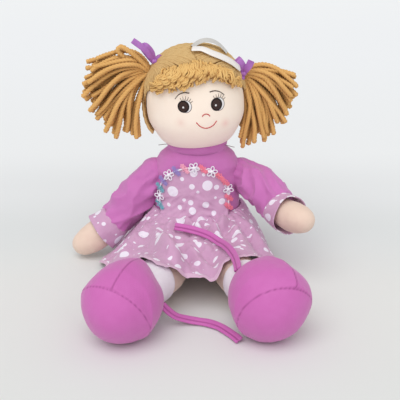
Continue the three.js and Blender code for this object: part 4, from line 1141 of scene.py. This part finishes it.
def make_eye(side):
    """The discs of an eye, and its lashes."""
    eye = EYES[side]
    x, z = eye["x"], eye["z"]
    parts = [disc(x + dx, z + dz, *form, eye["tall"], eye["lean"]) for dx, dz, *form in EYE_DISCS]
    parts.append(disc(*eye["glint"], 0.95, 0.95, 0.2, 1.0, 0.0, 4, 16))
    points, faces, index = gathered(parts)
    made = head_mesh(f"{side}_eye_stitch", points, faces, *EYE_STUFF, index=index)
    placed(made, "head", [f"{side}_eye"])
    lashes = []
    for share in np.linspace(0, 1, LASHES):
        start = math.radians(122 - 88 * share)
        foot = np.array([x + 1.4 + 6.0 * math.cos(start), z + 6.4 * math.sin(start)])
        aim = start + math.radians(-16 + 14 * share)
        tip = foot + (3.2 + 0.5 * math.sin(math.pi * share)) * np.array([math.cos(aim), math.sin(aim)])
        lashes.append(stroke([foot, (foot + tip) / 2 + (0.25, -0.1), tip], 0.6, 0.3, (1.0, 0.5), 9))
    placed(head_mesh(f"{side}_lashes", *gathered(lashes)[:2], BROW_THREAD), "head", ())


make_head()
for side in SIDES:
    make_eye(side)
for node, name, width, stuff, slot, taper, places in STROKES:
    placed(head_mesh(name, *outward(*stroke(places, width, 0.5, taper)), stuff), "head", [node])


# Yarn

def strand(line, radius, pitch=11.0, lobes=3, depth=0.15, steps=12, spacing=1.3):
    """Points and faces of one length of plied yarn along a line."""
    length = length_of(line)
    count = max(6, int(length / spacing))
    line = resampled(line, count)
    tangents = directions_along(line)
    side = np.cross(tangents[0], (0.31, 0.42, 0.85))
    angles = turns(steps)
    rings = []
    for k, tangent in enumerate(tangents):
        side = unit(side - np.dot(side, tangent) * tangent)
        turn = 2 * math.pi * length * k / (count - 1) / pitch
        blunt = 0.72 if k in (0, count - 1) else 1.0
        shape = radius * (1 + depth * np.cos(lobes * (angles + turn))) * blunt
        out = np.cos(angles)[:, None] * side + np.sin(angles)[:, None] * np.cross(tangent, side)
        rings.append(line[k] + out * shape[:, None])
    return closed_rings(rings)


def strands(name, lines, radius, stuff, body, nodes, slot, **settings):
    parts = [strand(line, radius * random.uniform(0.92, 1.08), **settings) for line in lines]
    placed(head_mesh(name, *gathered(parts)[:2], stuff), body, nodes)


TIES = {"left": np.array([49.0, 0.0, 193.5]), "right": np.array([-44.0, 0.0, 202.0])}
# The reach of each pigtail at angles from level
PIGTAIL_REACH = {
    "left": [(-96, 79), (-75, 77), (-60, 73), (-38, 66), (-15, 59), (-5, 57)],
    "right": [(-86, 68), (-75, 75), (-60, 79), (-35, 75), (-10, 71), (20, 59)],
}
# Share of the way along a strand of a pigtail, with the share of its bend and of its depth there
PIGTAIL_CURL = [(0.2, 1.15, 0.42), (0.4, 0.85, 0.78), (0.6, 0.5, 0.98), (0.8, 0.2, 1.05), (1.0, 0.0, 1.0)]
RAISED_STRAND = [(-42, -4, 202), (-52, -6, 214), (-62, -7, 224), (-70, -7, 228.5), (-72.5, -7, 225.5),
                 (-67, -5, 217), (-60, -3, 209)]
TEMPLE = [(8, -35, 38), (24, -31, 31), (36, -21, 26), (43, -9, 18), (46, 1, 7), (46, 7, -6)]
FRINGE_EDGE = np.array([
    (-44, 186), (-34.5, 190.5), (-23.2, 190), (-10.7, 193), (3.9, 197.5), (15.8, 199.5), (28.6, 195.5),
    (44.2, 184),
])
CAP_ROWS, CAP_COLUMNS = 44, 120
CROWN_STRAND, PIGTAIL_STRAND, FRINGE_STRAND = 1.4, 2.35, 0.95


def make_cap():
    """The yarn base that the strands are sewn on. It is darker than them, as painted shade where it shows
    between them.
    """
    angles = turns(CAP_COLUMNS)
    rings = []
    for level in np.linspace(1.0, 0.0, CAP_ROWS):
        front = np.cos(angles)
        edge = -0.45 + 1.1 * np.clip((front + 0.15) / 0.5, 0.0, 1.0) ** 0.7
        height = edge + (0.995 - edge) * level
        z = HEAD[2] + height * np.where(height > 0, HEAD_ABOVE, HEAD_BELOW)
        wide, deep = head_size(z)
        lift = 0.5 + 0.6 * (1 - level) ** 0.5
        rings.append(upright_ring(wide + lift, deep + lift, z + lift * height, angles, HEAD[1]))
    points = np.vstack([np.reshape(rings, (-1, 3)), rings[0].mean(0)])
    faces = grid_faces(CAP_ROWS, CAP_COLUMNS, True)
    faces += fan_faces(list(range(CAP_COLUMNS)), CAP_ROWS * CAP_COLUMNS, True)
    placed(thickened(head_mesh("hair_base", points, faces, SHADED_CAP_YARN), 0.7), "head", ["hair_cap"])


def crown_lines(side):
    """Yarn from the parting, the temples and the nape up to the tie."""
    tie = unit(TIES[side] - HEAD)
    sign = SIDES[side]
    ends = [(2.0 * math.sin(9 * t), HEAD[1] + math.sin(t) * 42, math.cos(t) * 50)
            for t in np.linspace(-0.8, 2.05, 70)]
    for turn in np.linspace(0.02, 0.97, 26):
        a = math.pi * (1 - turn * 0.52)
        ends.append((sign * math.sin(a) * 42, -math.cos(a) * 38, -24.0))
    ends += [place * (sign, 1, 1) for place in smooth_line(TEMPLE, 26)]
    lines = []
    for end in ends:
        height = random.uniform(-0.35, 0.35)
        points = []
        for share in np.linspace(0, 1, 8):
            direction = tie * (1 - share) + unit(np.array(end)) * share
            direction[2] += 0.16 * math.sin(math.pi * share) * min(1.0, max(0.0, (end[2] + 10) / 30))
            lift = 1.9 + height + 1.2 * math.sin(math.pi * share) + 1.4 * (1 - share) ** 6
            points.append(on_head(direction, lift + random.uniform(-0.15, 0.15)))
        lines.append(smooth_line(points, 44))
    return lines


def pigtail_lines(side, from_turn, to_turn, count):
    """Thick yarn that fans out from the tie, lies over itself and hangs."""
    sign = SIDES[side]
    tie = TIES[side] + np.array([-1.5 * sign, 0.0, 0.0])
    table = np.array(PIGTAIL_REACH[side], float)
    lines = []
    for k in range(count):
        share = (k + random.uniform(0.0, 1.0)) / count
        layer = math.sin(2.4 * k) * 0.75 + random.uniform(-0.25, 0.25)
        turn = from_turn + (to_turn - from_turn) * share + random.uniform(-5, 5)
        reach = float(np.interp(turn, *table.T)) * random.uniform(0.85, 1.0)
        depth = 14.0 * layer * math.sqrt(max(0.1, 1 - 0.7 * (2 * share - 1) ** 2))
        bend = math.radians(27 - 10 * share + random.uniform(-14, 14))
        places = [tie + np.array([0.0, 3.4 * layer, random.uniform(-3.5, 3.5)])]
        phase = random.uniform(0, 6.28)
        for part, curl, out in PIGTAIL_CURL:
            angle = math.radians(turn) + curl * bend + 0.03 * math.sin(phase + 6 * part)
            places.append(tie + np.array([sign * reach * part * math.cos(angle),
                                          out * depth + 1.2 * math.sin(phase + 7 * part),
                                          reach * part * math.sin(angle)]))
        lines.append(smooth_line(places, 64))
    return lines


def fringe_lines():
    """Curly locks that sweep from the parting out over the forehead, in two layers."""
    lines = []
    locks = [(34, 0.0, 0.0, k) for k in range(34)] + [(30, 2.6, 4.5, k) for k in range(30)]
    for count, rise, shorter, k in locks:
        tip_x = -44 + 88 * (k + random.uniform(0.2, 0.8)) / count
        tip_z = float(np.interp(tip_x, *FRINGE_EDGE.T)) + shorter + random.uniform(-1.5, 2.0)
        root_x = -5 + 0.66 * (tip_x + 5) + random.uniform(-2, 2)
        root_z = 215.0 - 0.012 * (root_x + 2) ** 2 + random.uniform(-1.5, 1.5) - 0.4 * rise
        phase = random.uniform(0, 6.28)
        size = random.uniform(1.3, 2.6)
        across = unit(np.array([tip_z - root_z, root_x - tip_x]))
        for _ in range(6):
            shift = random.uniform(-2.4, 2.4)
            high = random.uniform(-0.6, 0.9)
            late = phase + random.uniform(-0.5, 0.5)
            reach = random.uniform(0.9, 1.05)
            points = []
            for share in np.linspace(0, 1, 12):
                curl = size * (0.3 + share) * math.sin(late + 10.5 * share)
                x = root_x + (tip_x - root_x) * share ** 0.8 * reach
                x += across[0] * (curl + shift * (1 - 0.3 * share))
                z = root_z + (tip_z - root_z) * share ** 1.15 * reach + across[1] * (curl + 0.5 * shift)
                puff = 3.4 * math.sin(math.pi * min(1.0, 0.1 + 0.85 * share))
                lift = 2.6 + rise + high + puff + 0.8 * size * math.cos(late + 10.5 * share) * share
                points.append(face_point(max(-46.0, min(46.5, x)), z, lift))
            lines.append(smooth_line(points, 30))
    return lines


make_cap()
for side in SIDES:
    strands(f"{side}_crown_yarn", crown_lines(side), CROWN_STRAND, CROWN_YARN, "head", (), "yarn", pitch=6.0,
            steps=8, spacing=1.5)
for side, from_turn, to_turn, count in (("left", -8, -95, 50), ("right", 16, -75, 52)):
    lines = pigtail_lines(side, from_turn, to_turn, count)
    if side == "right":
        lines.append(smooth_line(RAISED_STRAND, 60))
    strands(f"{side}_pigtail_yarn", lines, PIGTAIL_STRAND, YARN, f"{side}_pigtail", [f"{side}_pigtail"],
            "yarn", pitch=7.0, depth=0.2)
strands("fringe_curls", fringe_lines(), FRINGE_STRAND, FRINGE_YARN, "head", ["fringe"], "fringe_yarn",
        steps=6, spacing=1.0, pitch=3.5, lobes=2, depth=0.16)


# Ribbons

def band(places, directions, steps, thickness, curl):
    """Points and faces of a ribbon through places, with half its width and its thick direction at each."""
    rings = []
    for place, (side, up) in zip(places, directions):
        ring = []
        for a in turns(steps):
            wide = math.copysign(abs(math.cos(a)) ** 0.6, math.cos(a))
            ring.append(place + side * wide + up * (thickness / 2 * math.sin(a) + curl(wide)))
        rings.append(ring)
    return outward(*closed_rings(rings))


def ribbon(places, width, across=None, thickness=0.7, pinch=((0, 1.0), (1, 1.0))):
    """A ribbon along a line, with its broad side to the front or lying across a direction."""
    line = smooth_line(places, 60)
    directions = []
    for tangent, share in zip(directions_along(line), smooth_table(pinch, np.linspace(0, 1, 60))):
        side = np.cross((0.0, -1.0, 0.35), tangent) if across is None else np.array(across, float)
        side = unit(side - np.dot(side, tangent) * tangent)
        directions.append((side * width / 2 * share, np.cross(tangent, side)))
    return band(line, directions, 12, thickness, lambda wide: 0.35 * wide ** 2)


def surface_band(places, width, lift, thickness=0.8):
    """A ribbon that lies on the hair along places seen from the front."""
    line = smooth_line([(x, z, 0.0) for x, z in places], 60)
    middles = np.array([face_point(x, z, lift) for x, z, _ in line])
    directions = []
    for (x, z, _), tangent in zip(line, directions_along(middles)):
        right = face_point(x + 0.5, z, lift) - face_point(x - 0.5, z, lift)
        normal = unit(np.cross(right, face_point(x, z + 0.5, lift) - face_point(x, z - 0.5, lift)))
        directions.append((np.cross(normal, tangent) * width / 2, normal))
    return band(middles, directions, 16, thickness,
                lambda wide: 0.56 * (math.cos(2.5 * wide) - 1) * wide ** 2)


def knot_form(centre, size, seed):
    """A tight fold of ribbon."""
    rings = []
    for turn in np.linspace(-1.45, 1.45, 14):
        ring = []
        for a in turns(24):
            out = np.array([math.cos(turn) * math.cos(a), math.cos(turn) * math.sin(a), math.sin(turn)])
            reach = size * (1 + 0.12 * math.sin(5 * a + seed) + 0.1 * math.sin(3 * turn + seed))
            ring.append(centre + out * reach)
        rings.append(ring)
    return outward(*closed_rings(rings))


LOOP_PINCH = [(0, 0.45), (0.2, 1.0), (0.8, 1.0), (1, 0.45)]
TAIL_PINCH = [(0, 0.45), (0.3, 0.9), (0.85, 1.0), (1, 0.95)]


def make_bow(side, knot, loop, tails, lifts):
    """A satin loop and tails round a knot at the root of a pigtail. Each has a width and places."""
    knot = np.array(knot)
    loop, *tails = ((width, knot + np.array(places)) for width, places in [loop] + tails)
    under = knot + np.array([-1.5 * SIDES[side], -1.0, -4.0])
    parts = [knot_form(knot, 3.2, 1.0), knot_form(under, 2.6, 2.0)]
    parts.append(ribbon(loop[1], loop[0], pinch=LOOP_PINCH))
    placed(head_mesh(f"{side}_bow_ribbon", *gathered(parts)[:2], PURPLE_SATIN), "head", [f"{side}_bow"])
    parts = [ribbon(places, width, pinch=TAIL_PINCH) for width, places in tails]
    tail = head_mesh(f"{side}_bow_tail", *gathered(parts)[:2], PURPLE_SATIN)
    if lifts:
        root, lifted = knot, knot + np.array([16 * SIDES[side], 0, 18])
        start, end = (tuple(tilted(place) * MM) for place in (root, lifted))
        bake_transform(tail)
    else:
        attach(tail, "head")


def make_crown_ribbon():
    """White satin over the crown to the left tie, with one loop standing up from it."""
    flat = [(-1.0, 226.3), (8.8, 225.4), (18.3, 221.3), (27.8, 216.6), (37.2, 210.3), (45.0, 202.5)]
    raised = [(0.0, -12, 225.0), (4.5, -11, 227.9), (9.5, -10, 229.6), (15.0, -10, 230.0), (21.0, -10, 228.2),
              (27.0, -11, 224.0), (33.0, -12, 217.0)]
    parts = [surface_band(flat, 8.6, HAIR_THICKNESS + 1.8), ribbon(raised, 8.0, (0, 1, 0.35), 0.8)]
    points, faces, index = gathered(parts)
    # The standing loop takes the greyer satin, as painted shade.
    made = head_mesh("crown_satin", points, faces, WHITE_SATIN, SHADED_SATIN, index=index)
    placed(made, "head", ["crown_ribbon"])


make_bow("right", (-37.6, -7.0, 212.1),
         (4.5, [(0, 0, 0), (4.5, -1, 4.5), (6.5, 0, 3.0), (4.0, 1, 0.5), (0, 1, 0)]),
         [(8.0, [(0, 0, 0), (-3.4, -2, 9.9), (-8.4, -3, 16.0), (-9.5, -1, 14.5), (-5.0, 0, 7), (0, 1, 0)]),
          (6.0, [(0, 0, 0), (-4.5, -3, 6.6), (-9.0, -4, 13.2), (-14.5, -4, 18.2), (-20.1, -3, 22.7)])], True)
make_bow("left", (48.5, -10.0, 194.5),
         (10.0, [(0, 0, 0), (-1.0, -2, 5), (-3.0, -3, 10.0), (-5.5, -2, 13.5), (-6.0, 1, 13.0), (-2.0, 2, 6),
                 (0, 1, 0)]),
         [(7.0, [(0, 0, 0), (2.5, -3, 4.5), (5.5, -4, 8.5), (8.0, -4, 13.5)])], False)
make_crown_ribbon()

# Flower lace along the bib's edge

FLOWERS = {name: thread_stuff(f"{name}_lace", light, dark) for name, light, dark in (
    ("white", (250, 247, 252), (232, 228, 240)), ("teal", (128, 196, 206), (98, 170, 186)),
    ("violet", (172, 156, 214), (140, 124, 196)), ("pink", (250, 188, 206), (244, 160, 186)),
    ("coral", (255, 150, 170), (246, 118, 148)),
)}
FLOWER_ORDER = ["teal", "white", "teal", "violet", "white", "violet", "pink", "white", "coral", "white",
                "coral", "coral", "white", "coral", "coral"]


def bib_edge(count):
    arch = BIB_ARCH * BIB_HEIGHT
    foot = BIB_BOTTOM + 5.2
    line = [(BIB_HALF_WIDTH * math.sin(a), BIB_TOP - arch + arch * math.cos(a), 0.0)
            for a in np.linspace(-math.pi / 2, math.pi / 2, 60)]
    line = [(-BIB_HALF_WIDTH, foot, 0.0)] + line + [(BIB_HALF_WIDTH, foot, 0.0)]
    return resampled(line, count)[:, :2] + (BIB_CENTRE, 0.0)


def flower(x, z, size, lift, turn, petals=5):
    """Points and faces of a small flower: looped petals round a bead."""
    base = torso_front(x, z, lift)
    right = unit(torso_front(x + 1, z, lift) - base)
    normal = unit(np.cross(right, torso_front(x, z + 1, lift) - base))
    normal = unit(normal + np.array([0.0, -0.9, 0.25]))
    right = unit(right - np.dot(right, normal) * normal)
    up = np.cross(normal, right)
    wire = 0.26 + 0.045 * size
    parts = []
    for a in turn + turns(petals):
        out = right * math.cos(a) + up * math.sin(a)
        side = np.cross(normal, out)
        centre = base + out * size * 0.56 + normal * 0.5
        points = []
        for t in turns(14):
            middle = centre + out * math.cos(t) * size * 0.36 + side * math.sin(t) * size * 0.26
            away = out * math.cos(t) + side * math.sin(t)
            points += [middle + away * wire * math.cos(b) + normal * (wire * math.sin(b) + 0.2)
                       for b in turns(6)]
        last = 13 * 6
        closing = [(last + c, last + (c + 1) % 6, (c + 1) % 6, c) for c in range(6)]
        parts.append((points, grid_faces(14, 6, True) + closing))
    parts.append(knot_form(base + normal * 0.7, size * 0.26, 2.0))
    return gathered(parts)[:2]


def make_lace():
    """White flowers with smaller coloured ones between them, on a cord."""
    groups = {}
    for k, (name, (x, z)) in enumerate(zip(FLOWER_ORDER, bib_edge(len(FLOWER_ORDER)))):
        group = groups.setdefault(name, [])
        group.append(flower(x, z, 6.0 if name == "white" else 3.2, BIB_LIFT + 2.6, 0.7 * k))
        for dx, dz in () if name == "white" else ((2.6, -2.4), (-2.4, 2.6)):
            group.append(flower(x + dx, z + dz, 2.3, BIB_LIFT + 2.9, 0.4 * k))
    for name, group in groups.items():
        made = make_mesh(f"{name}_flowers", *gathered(group)[:2], FLOWERS[name])
        placed(made, "torso", ["flower_trim"] if name == "white" else ())
    line = smooth_line([torso_front(x, z, BIB_LIFT + 2.2) for x, z in bib_edge(24)], 160)
    cord = strand(line, 0.9, pitch=3.0, lobes=2, steps=8, spacing=0.8)
    placed(make_mesh("lace_cord", *cord, FLOWERS["white"]), "torso", ())


make_lace()

# Loose thread ends at the collar

THREAD_ENDS = [
    [(27.5, -12, 124.8), (32, -14, 124.4), (38, -15, 123.2)],
    [(-27.5, -10, 125.2), (-33, -12, 125.4), (-39, -13, 125.0)],
]
ends = [strand(smooth_line(line, 20), 0.35, steps=6, spacing=0.8, pitch=2.0) for line in THREAD_ENDS]
placed(make_mesh("thread_ends", *gathered(ends)[:2], GREY_THREAD), "torso", ())

# Stage and light

# The stage's colour at places from front to back, as it is seen, with a band of painted shade behind the doll
STAGE_COLOURS = [
    (-300, (226, 228, 226)), (-100, (228, 229, 227)), (60, (223, 226, 226)), (180, (230, 232, 233)),
    (340, (237, 239, 240)), (1000, (239, 241, 243)), (1700, (241, 243, 244)),
]


def make_stage():
    """A plain pale sheet with a band of painted shade behind the doll, where a backdrop would begin to rise
    from the table. It is paler further back.
    """
    made = bpy.data.materials.new("stage")
    made.use_nodes = True
    tree = made.node_tree
    split = add_node(tree, "SeparateXYZ", {0: coordinates(tree, False)})
    first, last = STAGE_COLOURS[0][0], STAGE_COLOURS[-1][0]
    along = maths(tree, "SUBTRACT", split.outputs["Y"], first * MM)
    ramp = add_node(tree, "ValToRGB", {"Fac": maths(tree, "DIVIDE", along, (last - first) * MM)})
    ramp.color_ramp.interpolation = "EASE"
    stops = ramp.color_ramp.elements
    for k, (place, colour) in enumerate(STAGE_COLOURS):
        share = (place - first) / (last - first)
        stop = stops[k] if k < 2 else stops.new(share)
        stop.position = share
        stop.color = linear(colour)
    set_inputs(tree, tree.nodes["Principled BSDF"],
               {"Base Color": ramp.outputs["Color"], "Roughness": 0.9, "Specular IOR Level": 0.0})
    points = [(x, y, -0.2) for y in np.linspace(-1800, 6000, 14) for x in np.linspace(-4000, 4000, 9)]
    make_mesh("stage", points, grid_faces(14, 9), made)


def sun(name, elevation, turn, spread, strength):
    """Even light from a direction: degrees up, and degrees from the front towards the doll's left."""
    data = bpy.data.lights.new(name, "SUN")
    data.energy = strength
    data.angle = math.radians(spread)
    lamp = bpy.data.objects.new(name, data)
    scene.collection.objects.link(lamp)
    up, side = math.radians(elevation), math.radians(turn)
    lamp.location = (math.cos(up) * math.sin(side), -math.cos(up) * math.cos(side), math.sin(up))
    lamp.rotation_euler = (-lamp.location).to_track_quat("-Z", "Y").to_euler()


def make_world():
    """Soft white light from all sides, with a pale backdrop where the camera sees past the stage."""
    world = bpy.data.worlds.new("world")
    scene.world = world
    world.use_nodes = True
    sky = world.node_tree
    light = sky.nodes["Background"]
    set_inputs(sky, light, {"Color": (1.0, 1.0, 1.0, 1.0), "Strength": 0.6})
    backdrop = add_node(sky, "Background", {"Color": linear((238, 240, 242))})
    direct = add_node(sky, "LightPath", {}).outputs["Is Camera Ray"]
    seen = add_node(sky, "MixShader", {0: direct, 1: light.outputs[0], 2: backdrop.outputs[0]})
    sky.links.new(seen.outputs[0], sky.nodes["World Output"].inputs["Surface"])


make_stage()
sun("key_light", 58, -24, 50, 1.2)
sun("front_light", 22, 8, 70, 0.6)
make_world()
